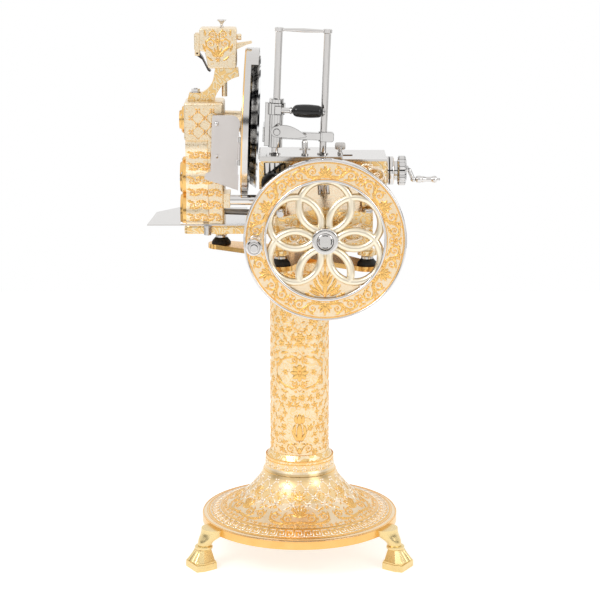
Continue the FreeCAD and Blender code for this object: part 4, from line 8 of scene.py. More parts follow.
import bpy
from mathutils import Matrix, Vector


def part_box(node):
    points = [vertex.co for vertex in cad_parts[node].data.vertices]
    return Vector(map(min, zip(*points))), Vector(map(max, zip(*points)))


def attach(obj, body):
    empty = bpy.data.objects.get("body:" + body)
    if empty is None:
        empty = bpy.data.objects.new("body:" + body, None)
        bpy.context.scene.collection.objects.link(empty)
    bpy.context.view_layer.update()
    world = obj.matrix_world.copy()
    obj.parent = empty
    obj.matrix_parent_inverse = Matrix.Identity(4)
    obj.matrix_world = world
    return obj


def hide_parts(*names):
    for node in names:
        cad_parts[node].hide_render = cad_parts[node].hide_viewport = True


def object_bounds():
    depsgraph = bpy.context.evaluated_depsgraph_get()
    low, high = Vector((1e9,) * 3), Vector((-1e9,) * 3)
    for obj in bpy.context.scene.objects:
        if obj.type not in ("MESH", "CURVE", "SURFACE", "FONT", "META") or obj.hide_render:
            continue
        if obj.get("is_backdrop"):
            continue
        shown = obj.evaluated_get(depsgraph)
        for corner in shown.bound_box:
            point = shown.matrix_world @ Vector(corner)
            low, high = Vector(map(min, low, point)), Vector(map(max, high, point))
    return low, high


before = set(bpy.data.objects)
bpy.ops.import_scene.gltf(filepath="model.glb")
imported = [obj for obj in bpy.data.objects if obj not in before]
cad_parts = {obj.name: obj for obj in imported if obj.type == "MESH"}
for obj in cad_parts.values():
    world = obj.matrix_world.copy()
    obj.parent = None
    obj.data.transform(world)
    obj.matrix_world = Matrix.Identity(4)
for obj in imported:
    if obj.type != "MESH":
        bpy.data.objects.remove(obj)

import copy
import logging
import math
import random
from dataclasses import dataclass, field
from enum import Enum
from typing import Any, Callable, ClassVar, Optional

import bmesh
import bpy
from mathutils import Vector

MM = 0.001
UP = Vector((0, 0, 1))
RIGHT = Vector((1, 0, 0))
AWAY = Vector((0, 1, 0))
KNIFE_LEAN = math.radians(2.2)
SHARP_EDGE = math.radians(35)
# How deep ornament goes into the surface that carries it, in millimetres
SINK = 0.4
# Probes start in front of the machine and above its base, in metres
PROBE_FRONT = -1.5
PROBE_TOP = 2.0
log = logging.getLogger("slicer")

Piece = bpy.types.Object
Maker = bmesh.types.BMesh
Tree = bpy.types.NodeTree
Surface = Callable[[float, float, float], Vector]
Point = tuple[float, float]
Stroke = list[tuple[float, float, float]]


def polar(reach: float, degrees: float, u: float = 0.0, v: float = 0.0) -> Point:
    """The point at a reach and a direction from another point."""
    angle = math.radians(degrees)
    return u + reach * math.cos(angle), v + reach * math.sin(angle)


def part_of_circle(radius: float, count: int) -> float:
    """Length of one of several equal parts of a circle."""
    return 2 * math.pi * radius / count


def direction(start: tuple, end: tuple) -> float:
    """Direction from one point to another, in degrees."""
    return math.degrees(math.atan2(end[1] - start[1], end[0] - start[0]))


# ---------------------------------------------------------------- node tools

def linear(colour: str) -> tuple[float, float, float, float]:
    """Turn an sRGB hex colour into linear values.

    Args:
        colour: Six hex digits after a hash sign.

    Returns:
        Linear red, green and blue with an alpha of 1.
    """
    shares = [int(colour[place:place + 2], 16) / 255 for place in (1, 3, 5)]
    lit = [share / 12.92 if share <= 0.04045 else ((share + 0.055) / 1.055) ** 2.4 for share in shares]
    return (lit[0], lit[1], lit[2], 1.0)


def add_node(tree: Tree, kind: str, inputs: Optional[dict] = None) -> Any:
    """Add a node with its settings and links.

    Args:
        tree: The tree that gets the node.
        kind: The node's type name.
        inputs: Values by attribute name, or by input name or number. A socket is linked, a node is
            linked by its first output, and None is left out.

    Returns:
        The new node.
    """
    node = tree.nodes.new(kind)
    for name, value in (inputs or {}).items():
        if isinstance(value, bpy.types.Node):
            value = value.outputs[0]
        if isinstance(value, bpy.types.NodeSocket):
            tree.links.new(value, node.inputs[name])
        elif isinstance(name, str) and hasattr(node, name):
            setattr(node, name, value)
        elif value is not None:
            node.inputs[name].default_value = value
    return node


def sums(tree: Tree, operation: str, first: Any, second: Any) -> Any:
    """Add a node that works on two numbers or sources."""
    return add_node(tree, "ShaderNodeMath", {"operation": operation, 0: first, 1: second})


def vectors(tree: Tree, operation: str, first: Any, second: Any = None) -> Any:
    """Add a node that works on one or two vectors."""
    return add_node(tree, "ShaderNodeVectorMath", {"operation": operation, 0: first, 1: second})


def ramp(tree: Tree, source: Any, start: float, end: float, low: float = 0.0, high: float = 1.0) -> Any:
    """Add a node that maps the values from start to end onto those from low to high."""
    return add_node(tree, "ShaderNodeMapRange", {"From Min": start, "From Max": end, "To Min": low,
                                                 "To Max": high, "Value": source})


def noise(tree: Tree, place: Any, scale: float, detail: float, distortion: float = 0.0) -> Any:
    """Add a noise field, with its scale in cells per metre."""
    return add_node(tree, "ShaderNodeTexNoise", {"Scale": scale, "Detail": detail, "Distortion": distortion,
                                                 "Vector": place})


def bump(tree: Tree, height: Any, strength: float, depth_mm: float) -> Any:
    """Add a node that bends the normal by a height."""
    return add_node(tree, "ShaderNodeBump", {"Strength": strength, "Distance": depth_mm * MM, "Height": height})


def new_material(name: str) -> tuple[bpy.types.Material, Tree]:
    """Start a material with an empty tree."""
    material = bpy.data.materials.new(name)
    material.use_nodes = True
    material.node_tree.nodes.clear()
    return material, material.node_tree


# ---------------------------------------------------------------- finishes

@dataclass(frozen=True)
class Coating:
    """What every finish has: a name, two tones that its pattern mixes, and a roughness."""

    name: str
    colour: str
    tone: str
    roughness: float

    shader: ClassVar[dict] = {"Metallic": 1.0}

    def pattern(self, tree: Tree, place: Any) -> tuple[Any, Any, Any]:
        """Add the pattern's nodes.

        Args:
            tree: The material's tree.
            place: Source of the point in the object's own coordinates.

        Returns:
            Sources of the second tone's share, of the roughness and of the normal, which may be None.
        """
        raise NotImplementedError

    def build(self) -> bpy.types.Material:
        """Make the material."""
        material, tree = new_material(self.name)
        place = add_node(tree, "ShaderNodeTexCoord").outputs["Object"]
        share, gloss, normal = self.pattern(tree, place)
        tint = add_node(tree, "ShaderNodeMix", {"data_type": "RGBA", 6: linear(self.colour),
                                                7: linear(self.tone), 0: share})
        surface = add_node(tree, "ShaderNodeBsdfPrincipled", {**self.shader, "Base Color": tint.outputs[2],
                                                              "Roughness": gloss, "Normal": normal})
        add_node(tree, "ShaderNodeOutputMaterial", {"Surface": surface})
        return material


@dataclass(frozen=True)
class Metal(Coating):
    """A metal surface with slight changes of tone, gloss and height.

    The tone drifts over tone_mm, and fine marks of grain_mm break the gloss. A stretch over 1 draws
    the marks out along one axis, as brushing or turning does.
    """

    spread: float = 0.05
    tone_mm: float = 30.0
    grain_mm: float = 2.0
    relief: float = 0.05
    depth_mm: float = 0.6
    stretch: tuple[float, float, float] = (1.0, 1.0, 1.0)

    def pattern(self, tree: Tree, place: Any) -> tuple[Any, Any, Any]:
        """Add a slow drift of tone and a fine grain."""
        drawn = add_node(tree, "ShaderNodeMapping", {"Scale": self.stretch, "Vector": place})
        grain = noise(tree, drawn, 1000 / self.grain_mm, 2.0)
        gloss = ramp(tree, grain, 0.0, 1.0, self.roughness - self.spread, self.roughness + self.spread)
        return noise(tree, drawn, 1000 / self.tone_mm, 3.0), gloss, bump(tree, grain, self.relief, self.depth_mm)


@dataclass(frozen=True)
class ChasedMetal(Coating):
    """Plated metal with fine scrollwork cut into it, in the second tone in its cuts and along its edges.

    The cuts follow the contours of a noise field, which curl as chased foliage does. Its grain is
    scroll_mm, and line is the width of a cut as a part of the field's height, below zero for none.
    The edges are worked over edge_mm. Where the second tone is dark, as on chromium, that edge tone is a painted dark
    reflection.
    """

    scroll_mm: float = 9.0
    line: float = 0.035
    share: float = 0.8
    edge_mm: float = 2.5
    line_fade: float = 0.022
    cloud_mm: float = 60.0

    def pattern(self, tree: Tree, place: Any) -> tuple[Any, Any, Any]:
        """Add the cuts, the edges and a slow cloud of the second tone."""
        curl = noise(tree, place, 1000 / self.scroll_mm, 0.0, 0.7)
        wide = sums(tree, "PINGPONG", curl, 0.11)
        drawn = ramp(tree, wide, self.line, self.line + self.line_fade, self.share, 0.0)
        # Edge mask in the second tone: gilding on the gold finishes, a painted dark reflection on the chromium one
        bevel = add_node(tree, "ShaderNodeBevel", {"samples": 6, "Radius": self.edge_mm * MM})
        face = add_node(tree, "ShaderNodeNewGeometry")
        turned = vectors(tree, "DOT_PRODUCT", bevel, face.outputs["Normal"])
        edge = ramp(tree, turned.outputs["Value"], 0.985, 0.93)
        both = sums(tree, "MAXIMUM", drawn, edge)
        warm = ramp(tree, noise(tree, place, 1000 / self.cloud_mm, 2.0), 0.4, 0.75, 0.0, 0.16)
        fill = sums(tree, "ADD", both, warm)
        fill.use_clamp = True
        gloss = ramp(tree, both, 0.0, 1.0, self.roughness, self.roughness - 0.14)
        return fill, gloss, bump(tree, drawn, 0.3, 0.5)


@dataclass(frozen=True)
class Blade(Coating):
    """Hollow-ground blade steel with a painted reflection: dark and bright bands from the middle outward."""

    reflection_bands: float = 5.0
    node: str = "knife_blade"

    def pattern(self, tree: Tree, place: Any) -> tuple[Any, Any, Any]:
        """Add painted reflection bands that depend on the direction from the blade's middle alone."""
        centre = bpy.data.objects[self.node].matrix_world.inverted() @ middle(self.node)
        flat = vectors(tree, "MULTIPLY", vectors(tree, "SUBTRACT", place, tuple(centre)), (0.0, 1.0, 1.0))
        # Painted reflection: dark and bright bands round the blade's middle, in the base colour
        painted_reflection = noise(tree, vectors(tree, "NORMALIZE", flat), self.reflection_bands, 3.0)
        gloss = ramp(tree, painted_reflection, 0.0, 1.0, self.roughness, self.roughness + 0.08)
        return ramp(tree, painted_reflection, 0.44, 0.54), gloss, None


@dataclass(frozen=True)
class Polymer(Coating):
    """Moulded plastic or rubber with a faint moulding texture."""

    grain_mm: float = 1.5
    relief: float = 0.1

    shader: ClassVar[dict] = {"IOR": 1.5}

    def pattern(self, tree: Tree, place: Any) -> tuple[Any, Any, Any]:
        """Add a fine grain."""
        grain = noise(tree, place, 1000 / self.grain_mm, 3.0)
        gloss = ramp(tree, grain, 0.0, 1.0, self.roughness - 0.04, self.roughness + 0.06)
        return grain, gloss, bump(tree, grain, self.relief, 0.3)


class Finish(Enum):
    """The machine's finishes, each made once when it is first asked for."""

    # Gilded brass, polished: warm, clear reflections on plain edges and raised ornament
    GILT = Metal("gilded brass polished", "#ecb768", "#f4c983", 0.22, 0.04)
    # The same gilding, worn paler where feet and hands rub it
    PALE_GILT = Metal("gilded brass polished pale", "#e8cc8e", "#efd9a4", 0.27, 0.05)
    # Gilded ornament, chased: deeper yellow, softer gloss than the plain edges
    RELIEF = Metal("gilded brass chased", "#ecb968", "#f4c880", 0.27, 0.05, 12.0)
    # Thin gilding over satin plate, under the pale lattice: a warm field between the gold and the pearly ground
    WARM = Metal("gilded plate satin", "#efc98a", "#f6dcae", 0.3, 0.05, 12.0)
    # Pale plated lines on a gilded ground: nearly white, satin
    PALE = Metal("champagne plate satin", "#fbecd6", "#fdf2e2", 0.3, 0.04, 12.0)
    # Pale plated ground round the ornament, matted: pearly, with a soft sheen
    GROUND = ChasedMetal("champagne plate matted", "#f7e4c6", "#f0c886", 0.36, 14.0, 0.01, 0.45)
    # The same plate, engraved all over where no raised ornament stands
    ENGRAVED = ChasedMetal("champagne plate engraved", "#f8e8cc", "#f1c884", 0.34, 14.0, 0.014, 0.5)
    # The column's plate, engraved between its leaves: warmer than the base
    VINE = ChasedMetal("champagne plate engraved with vines", "#f4dfbb", "#ecc383", 0.34, 17.0, 0.035, 0.6)
    # Gilded casting with pale lines between its leaves, as on the housing below
    GOLDEN = ChasedMetal("gilded casting engraved", "#f8e5c0", "#f0c377", 0.32, 22.0, 0.05, 0.8)
    # Satin nickel on the wheel's spokes: broad soft highlights, faintly yellow
    SATIN = Metal("satin nickel plated iron", "#efe2c8", "#f6ecd7", 0.3, 0.04)
    # Chromium plate, buffed: mirror reflections
    CHROME = Metal("chromium plate buffed", "#d6d3d0", "#dedbd9", 0.035, 0.015, 60.0, 3.0, 0.01)
    # Chromium plate on hand-filed castings, with a painted dark reflection of the room along their rounded edges
    FILED_PAINTED_EDGES = ChasedMetal("chromium plate on filed casting", "#d8d6d4", "#2b2927", 0.06, 30.0, -0.05, 0.8, 2.4)
    # Ground steel on the plates: a grey with a slightly blurred mirror
    STEEL = Metal("stainless steel ground", "#cfccc9", "#d8d5d2", 0.16, 0.04, 80.0, 1.5, 0.03,
                  stretch=(1.0, 8.0, 8.0))
    # Blasted steel on the deflector: light grey, no mirror
    BLASTED = Metal("stainless steel blasted", "#dcd6d2", "#e3dedb", 0.48, 0.05, 50.0, 0.8, 0.1)
    # Hardened knife steel, polished, its colour a painted reflection of dark and bright bands round the blade
    KNIFE = Blade("knife steel with painted reflection bands", "#2b2d30", "#eceded", 0.14)
    # Machined steel inside the mechanism
    GEAR = Metal("machined steel oiled", "#8f8a84", "#a59f98", 0.3, 0.08, 15.0, 1.2, 0.1)
    BRONZE = Metal("turned bronze", "#b5813f", "#c99650", 0.28, 0.06, 12.0, 1.0, 0.08)
    # Phenolic moulding: black and glossy. The same black is laid as painted shade in the carriage's opening, the hub
    # cap's notches and the feed collar's groove
    BLACK = Polymer("phenolic resin moulded, also painted shade", "#0d0c0c", "#151413", 0.2)
    BROWN = Polymer("phenolic resin brown", "#2d211b", "#3a2c24", 0.3)
    RUBBER = Polymer("rubber moulded", "#141312", "#1d1c1a", 0.6, 1.0, 0.25)
    STONE = Polymer("aluminium oxide stone sintered", "#8b8983", "#a09d96", 0.9, 0.8, 0.6)

    @property
    def material(self) -> bpy.types.Material:
        """The finished material."""
        known = bpy.data.materials.get(self.value.name)
        return known or self.value.build()


# ---------------------------------------------------------------- surfaces that carry ornament

@dataclass(frozen=True)
class FlatFace:
    """A flat face with its own directions across and up."""

    origin: Vector
    across: Vector
    up: Vector

    def __call__(self, u: float, v: float, rise: float) -> Vector:
        """The point at u across, v up and a rise above the face, in millimetres."""
        out = self.across.cross(self.up)
        return self.origin + (self.across * u + self.up * v + out * rise) * MM


@dataclass(frozen=True)
class RoundFace:
    """The outside of an upright round column, with u = 0 facing the operator."""

    centre: Vector
    radius: float

    def __call__(self, u: float, v: float, rise: float) -> Vector:
        """The point at u round the column, v up and a rise above the face, in millimetres."""
        angle = u / self.radius - math.pi / 2
        reach = (self.radius + rise) * MM
        return self.centre + Vector((reach * math.cos(angle), reach * math.sin(angle), v * MM))


@dataclass(frozen=True)
class RimFace:
    """The flat front of a wheel's rim, with u = 0 at the top and v outwards from the middle radius."""

    centre: Vector
    radius: float

    def __call__(self, u: float, v: float, rise: float) -> Vector:
        """The point at u along the rim, v outwards and a rise above the face, in millimetres."""
        angle = math.pi / 2 - u / self.radius
        reach = (self.radius + v) * MM
        return self.centre + Vector((reach * math.cos(angle), -rise * MM, reach * math.sin(angle)))


@dataclass(frozen=True)
class CastFace:
    """The front of a casting of any shape, found by probing its solid from the front."""

    node: str
    origin: Vector

    def __call__(self, u: float, v: float, rise: float) -> Vector:
        """The point at u across, v up and a rise above the casting, in millimetres."""
        start = Vector((self.origin.x + u * MM, PROBE_FRONT, self.origin.z + v * MM))
        met, spot, normal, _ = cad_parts[self.node].ray_cast(start, AWAY)
        if not met:
            return Vector((start.x, self.origin.y - rise * MM, start.z))
        return spot + Vector((0, normal.y, normal.z)).normalized() * rise * MM


class TurnedFace:
    """The outside of a turned body, found by probing its solid along a radius."""

    def __init__(self, node: str, centre: Vector, inner: float, outer: float, middle: float,
                 steps: int = 60) -> None:
        """Probe the solid from above.

        Args:
            node: The solid's name.
            centre: A point on its upright axis.
            inner: Smallest radius in millimetres.
            outer: Largest radius in millimetres.
            middle: Radius at which v is zero and u is true to size.
            steps: Number of probes.
        """
        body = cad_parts[node]
        self.centre = centre
        self.middle = middle
        self.profile = []
        length = 0.0
        for index in range(steps + 1):
            radius = inner + (outer - inner) * index / steps
            above = Vector((centre.x, centre.y - radius * MM, PROBE_TOP))
            met, spot, _, _ = body.ray_cast(above, -UP)
            height = spot.z / MM if met else self.profile[-1][1]
            if self.profile:
                length += math.hypot(radius - self.profile[-1][0], height - self.profile[-1][1])
            self.profile.append((radius, height, length))
        self.zero = self.length_at(middle)

    def at(self, middle: float) -> "TurnedFace":
        """The same outline with its zero at another radius."""
        other = copy.copy(self)
        other.middle = middle
        other.zero = other.length_at(middle)
        return other

    def length_at(self, radius: float) -> float:
        """Length along the profile at a radius."""
        for low, high in zip(self.profile, self.profile[1:]):
            if low[0] <= radius <= high[0]:
                return low[2] + (high[2] - low[2]) * (radius - low[0]) / (high[0] - low[0])
        return self.profile[-1][2]

    def __call__(self, u: float, v: float, rise: float) -> Vector:
        """The point at u round the body, v up towards its axis and a rise above it, in millimetres."""
        wanted = min(max(self.zero - v, 0.0), self.profile[-1][2] - 0.01)
        index = 0
        while self.profile[index + 1][2] < wanted:
            index += 1
        low, high = self.profile[index], self.profile[index + 1]
        share = (wanted - low[2]) / (high[2] - low[2])
        radius = low[0] + (high[0] - low[0]) * share
        height = low[1] + (high[1] - low[1]) * share
        slope = math.atan2(high[1] - low[1], high[0] - low[0])
        radius += -math.sin(slope) * rise
        height += math.cos(slope) * rise
        angle = u / self.middle - math.pi / 2
        reach = radius * MM
        return Vector((self.centre.x + reach * math.cos(angle), self.centre.y + reach * math.sin(angle),
                       height * MM))


# ---------------------------------------------------------------- drawing ornament

class Drawing:
    """Raised strokes and beads on a flat sheet, in millimetres."""

    def __init__(self) -> None:
        """Start an empty sheet."""
        self.strokes: list[Stroke] = []
        self.beads: list[tuple[float, float, float]] = []

    def curl(self, u: float, v: float, heading: float, length: float, width: float, turn: float,
             tighten: float = 1.5, steps: int = 14, tip: float = 0.35) -> tuple[float, float, float]:
        """Draw a stroke whose bend tightens towards its end.

        Args:
            u: Start across.
            v: Start up.
            heading: Start direction in degrees, 0 to the right and 90 up.
            length: Length of the stroke.
            width: Greatest width.
            turn: How far it turns in all, in degrees, leftwards if positive.
            tighten: How much sharper the bend grows, 0 for an even arc.
            steps: Number of sections.
            tip: Width at the end as a share of the greatest.

        Returns:
            The end point and the end direction in degrees.
        """
        stroke = []
        angle = math.radians(heading)
        for index in range(steps + 1):
            share = index / steps
            swell = math.sin(math.pi * (0.12 + 0.75 * share)) * (1 - share) + tip * share
            stroke.append((u, v, max(width / 2 * swell, 0.2)))
            bend = math.radians(turn) / steps * (1 + tighten * (2 * share - 1))
            angle += bend
            u += math.cos(angle) * length / steps * (1 - 0.3 * tighten * (share - 0.5))
            v += math.sin(angle) * length / steps * (1 - 0.3 * tighten * (share - 0.5))
        self.strokes.append(stroke)
        return u, v, math.degrees(angle)

    def leaf(self, u: float, v: float, heading: float, length: float, width: float, turn: float = 0.0,
             steps: int = 6) -> None:
        """Draw a pointed leaf from its root."""
        stroke = []
        angle = math.radians(heading)
        for index in range(steps + 1):
            share = index / steps
            swell = math.sin(math.pi * share ** 0.8) ** 0.6 if 0 < share < 1 else 0.0
            stroke.append((u, v, max(width / 2 * swell, 0.15)))
            angle += math.radians(turn) / steps
            u += math.cos(angle) * length / steps
            v += math.sin(angle) * length / steps
        self.strokes.append(stroke)

    def leaves(self, *rows: tuple[float, ...]) -> None:
        """Draw leaves, each row with the values that a leaf takes."""
        for row in rows:
            self.leaf(*row)

    def spray(self, u: float, v: float, heading: float, length: float, width: float, spread: float,
              count: int, droop: float = 0.0) -> None:
        """Draw a fan of leaves, the middle one longest."""
        for index in range(count):
            side = 2 * index / (count - 1) - 1
            reach = length * (1 - 0.42 * abs(side))
            self.leaf(u, v, heading + spread / 2 * side, reach, width, droop * side)

    def scroll(self, start: tuple[float, float], heading: float, centre: tuple[float, float], radius: float,
               entry: float, sense: int, width: float, leaves: int = 7, turns: float = 1.3) -> None:
        """Draw a stem that runs into a spiral, with leaves along its outer side and a flower in its eye.

        Args:
            start: Root of the stem.
            heading: Direction of the stem at its root, in degrees.
            centre: Centre of the spiral.
            radius: Radius at which the stem enters the spiral.
            entry: Bearing of the entry from the centre, in degrees.
            sense: 1 to curl leftwards, -1 to curl rightwards.
            width: Greatest width of the stem.
            leaves: Number of leaves.
            turns: Number of turns of the spiral.
        """
        bearing = math.radians(entry)
        course = bearing + sense * math.pi / 2
        end = polar(radius, entry, *centre)
        pull = math.dist(start, end) * 0.42
        away = polar(pull, heading, *start)
        near = (end[0] - pull * math.cos(course), end[1] - pull * math.sin(course))
        path = []
        for index in range(8):
            share = index / 8
            parts = ((1 - share) ** 3, 3 * share * (1 - share) ** 2, 3 * share ** 2 * (1 - share), share ** 3)
            path.append(tuple(sum(part * spot[axis] for part, spot in zip(parts, (start, away, near, end)))
                              for axis in (0, 1)))
        for index in range(17):
            share = index / 16
            reach = radius * (1 - 0.74 * share)
            angle = bearing + sense * 2 * math.pi * turns * share
            path.append((centre[0] + reach * math.cos(angle), centre[1] + reach * math.sin(angle)))
        count = len(path) - 1
        swell = [math.sin(math.pi * min(index / count * 1.15, 1) ** 0.8) for index in range(count + 1)]
        self.strokes.append([(u, v, width / 2 * (0.45 + 0.55 * share)) for (u, v), share in zip(path, swell)])
        for leaf in range(leaves):
            place = 1 + round(leaf * 13 / max(leaves - 1, 1))
            here, after = path[place], path[place + 1]
            reach = width * (1.9 if leaf % 2 else 2.5)
            self.leaf(*here, direction(here, after) - sense * 50, reach, width * 0.8, sense * 50)
        self.rosette(centre[0], centre[1], radius * 0.3, 5)

    def ivy(self, u: float, v: float, heading: float, size: float) -> None:
        """Draw a leaf of five lobes."""
        for lobe, share in ((0, 1.0), (50, 0.86), (-50, 0.86), (104, 0.66), (-104, 0.66)):
            self.leaf(u, v, heading + lobe, size * share, size * 0.62, 0, 4)
        self.curl(u, v, heading + 180, size * 1.3, size * 0.16, 90, 0.5, 6)

    def scatter(self, width: float, height: float, pitch: float, seed: int,
                free: Callable[[float, float], bool] = lambda u, v: True) -> "Drawing":
        """Fill a field with leaves, flowers and tendrils in staggered rows.

        Args:
            width: Width of the field, centred on u = 0.
            height: Height of the field, upwards from v = 0.
            pitch: Distance between neighbours.
            seed: Seed of the random choice.
            free: Tells whether a motif may stand at a point.

        Returns:
            This drawing.
        """
        chance = random.Random(seed)
        columns = round(width / pitch)
        step = width / columns
        for row in range(int(height / (pitch * 0.87))):
            for column in range(columns):
                u = -width / 2 + (column + 0.25 + 0.5 * (row % 2)) * step + chance.uniform(-0.12, 0.12) * pitch
                v = (row + 0.5) * pitch * 0.87 + chance.uniform(-0.12, 0.12) * pitch
                heading, kind = chance.uniform(0, 360), chance.random()
                if not free(u, v):
                    continue
                if kind < 0.42:
                    self.ivy(u, v, heading, pitch * 0.6)
                elif kind < 0.62:
                    self.rosette(u, v, pitch * 0.46, 5, heading)
                elif kind < 0.8:
                    self.spray(u, v, heading, pitch * 0.62, pitch * 0.3, 120, 3)
                    self.leaf(u, v, heading + 180, pitch * 0.5, pitch * 0.26)
                else:
                    self.curl(u - pitch * 0.3, v, heading, pitch * 1.5, pitch * 0.13, 300, 1.2, 10)
                    self.leaf(u, v, heading + 120, pitch * 0.5, pitch * 0.26, 30)
        return self

    def rinceau(self, length: float, height: float, width: float) -> "Drawing":
        """Draw scrolls that curl up and down in turn along a band, centred on the origin."""
        radius = height * 0.29
        count = max(2, round(length / (radius * 2.35)))
        pitch = length / count
        for index in range(count):
            side = 1 if index % 2 else -1
            centre = (-length / 2 + pitch * (index + 0.55), side * height * 0.07)
            root = (centre[0] - pitch * 0.75, -side * height * 0.38)
            self.scroll(root, side * 12, centre, radius, -side * 95, side, width, 6)
            self.leaves((centre[0] + pitch * 0.35, side * height * 0.42, 180 + side * 18, pitch * 0.5,
                         width * 1.1, side * 30),
                        (centre[0] + pitch * 0.45, side * height * 0.12, side * 60, pitch * 0.36, width,
                         -side * 50))
        return self

    def rosette(self, u: float, v: float, radius: float, petals: int, start: float = 90.0) -> None:
        """Draw a flower with a bead in its middle."""
        for index in range(petals):
            heading = start + 360 * index / petals
            self.leaf(*polar(radius * 0.15, heading, u, v), heading, radius * 0.88, radius * 0.62)
        self.beads.append((u, v, radius * 0.24))

    def quatrefoil(self, u: float, v: float, size: float) -> None:
        """Draw four beads round a lozenge."""
        for heading in (45, 135, 225, 315):
            self.beads.append((*polar(size * 0.5, heading, u, v), size * 0.3))

    def line(self, points: list[Point], width: float) -> None:
        """Draw a line of even width through points."""
        self.strokes.append([(u, v, width / 2) for u, v in points])

    def add(self, other: "Drawing", shift: tuple[float, float] = (0.0, 0.0), scale: float = 1.0,
            mirror: bool = False) -> "Drawing":
        """Add a copy of another drawing, scaled, mirrored left to right and shifted."""
        across = -scale if mirror else scale

        def moved(row: Stroke) -> Stroke:
            """A row's points where the copy has them."""
            return [(shift[0] + u * across, shift[1] + v * scale, size * scale) for u, v, size in row]

        self.strokes += [moved(stroke) for stroke in other.strokes]
        self.beads += moved(other.beads)
        return self

    def both_sides(self) -> "Drawing":
        """A drawing made of this one and its mirror image."""
        return Drawing().add(self).add(self, mirror=True)


def link_piece(name: str, maker: Maker, material: bpy.types.Material) -> Piece:
    """Turn a bmesh into an object of the scene, and free it."""
    mesh = bpy.data.meshes.new(name)
    maker.to_mesh(mesh)
    maker.free()
    mesh.materials.append(material)
    piece = bpy.data.objects.new(name, mesh)
    bpy.context.scene.collection.objects.link(piece)
    return piece


def new_object(name: str, maker: Maker, finish: Finish, smooth: bool = True) -> Piece:
    """Turn a finished bmesh into a piece.

    Args:
        name: The piece's name.
        maker: The bmesh, which is freed.
        finish: The piece's finish.
        smooth: Whether its faces are shaded smooth.

    Returns:
        The new object.
    """
    bmesh.ops.recalc_face_normals(maker, faces=maker.faces)
    for face in maker.faces:
        face.smooth = smooth
    return link_piece(name, maker, finish.material)


def bridge(maker: Maker, loops: list[list[Any]], both_ends: bool = True) -> None:
    """Join closed loops of vertices by faces, and fill the first and, if asked for, the last."""
    for loop, after in zip(loops, loops[1:]):
        for place, here in enumerate(loop):
            nxt = (place + 1) % len(loop)
            maker.faces.new((here, loop[nxt], after[nxt], after[place]))
    maker.faces.new(loops[0])
    if both_ends:
        maker.faces.new(loops[-1])


def raise_stroke(maker: Maker, stroke: Stroke, surface: Surface, relief: float) -> None:
    """Add one stroke as a closed ridge that stands on a surface."""
    shape = ((-1.0, None), (-0.62, 0.72), (0.0, 1.0), (0.62, 0.72), (1.0, None))
    rings = []
    count = len(stroke)
    for index, (u, v, half) in enumerate(stroke):
        before = stroke[max(index - 1, 0)]
        after = stroke[min(index + 1, count - 1)]
        along_u, along_v = after[0] - before[0], after[1] - before[1]
        length = math.hypot(along_u, along_v) or 1.0
        side_u, side_v = -along_v / length, along_u / length
        height = min(relief, half * 0.9)
        ring = []
        for side, share in shape:
            rise = -SINK if share is None else height * share
            ring.append(maker.verts.new(surface(u + side_u * half * side, v + side_v * half * side, rise)))
        rings.append(ring)
    bridge(maker, rings)


def raise_bead(maker: Maker, bead: tuple[float, float, float], surface: Surface, sides: int = 8) -> None:
    """Add one domed bead that stands on a surface."""
    u, v, radius = bead
    rings = []
    for share, rise in ((1.0, -SINK), (0.95, radius * 0.25), (0.6, radius * 0.6)):
        spots = [polar(radius * share, 360 * index / sides, u, v) for index in range(sides)]
        rings.append([maker.verts.new(surface(*spot, rise)) for spot in spots])
    top = maker.verts.new(surface(u, v, radius * 0.72))
    bridge(maker, rings, False)
    for place, here in enumerate(rings[-1]):
        maker.faces.new((here, rings[-1][(place + 1) % sides], top))


def lay(name: str, drawing: Drawing, surface: Surface, finish: Finish, relief: float = 1.1) -> Piece:
    """Lay a drawing on a surface as one raised piece."""
    maker = bmesh.new()
    for stroke in drawing.strokes:
        raise_stroke(maker, stroke, surface, relief)
    for bead in drawing.beads:
        raise_bead(maker, bead, surface)
    return new_object(name, maker, finish)


def turned_piece(name: str, profile: list[Point], start: Vector, axis: Vector, finish: Finish,
                 steps: int = 64) -> Piece:
    """Turn a closed profile of (radius, height) points, in millimetres, about an axis.

    Args:
        name: The piece's name.
        profile: Points of the section. A radius of zero closes the shape on the axis.
        start: The point where height is zero.
        axis: Direction of the axis.
        finish: The piece's finish.
        steps: Number of sections.

    Returns:
        The new object.
    """
    maker = bmesh.new()
    axis = axis.normalized()
    side = axis.orthogonal().normalized()
    other = axis.cross(side)
    columns = []
    poles: dict[int, bmesh.types.BMVert] = {}
    for place, (radius, height) in enumerate(profile):
        if radius < 1e-6:
            poles[place] = maker.verts.new(start + axis * height * MM)
    for index in range(steps):
        angle = 2 * math.pi * index / steps
        out = side * math.cos(angle) + other * math.sin(angle)
        column = [poles.get(place) or maker.verts.new(start + axis * height * MM + out * radius * MM)
                  for place, (radius, height) in enumerate(profile)]
        columns.append(column)
    count = len(profile)
    for index in range(steps):
        here, after = columns[index], columns[(index + 1) % steps]
        for place in range(count):
            nxt = (place + 1) % count
            corners = list(dict.fromkeys((here[place], here[nxt], after[nxt], after[place])))
            if len(corners) > 2:
                maker.faces.new(corners)
    piece = new_object(name, maker, finish)
    piece.data.set_sharp_from_angle(angle=SHARP_EDGE)
    return piece


# ---------------------------------------------------------------- Geometry Nodes

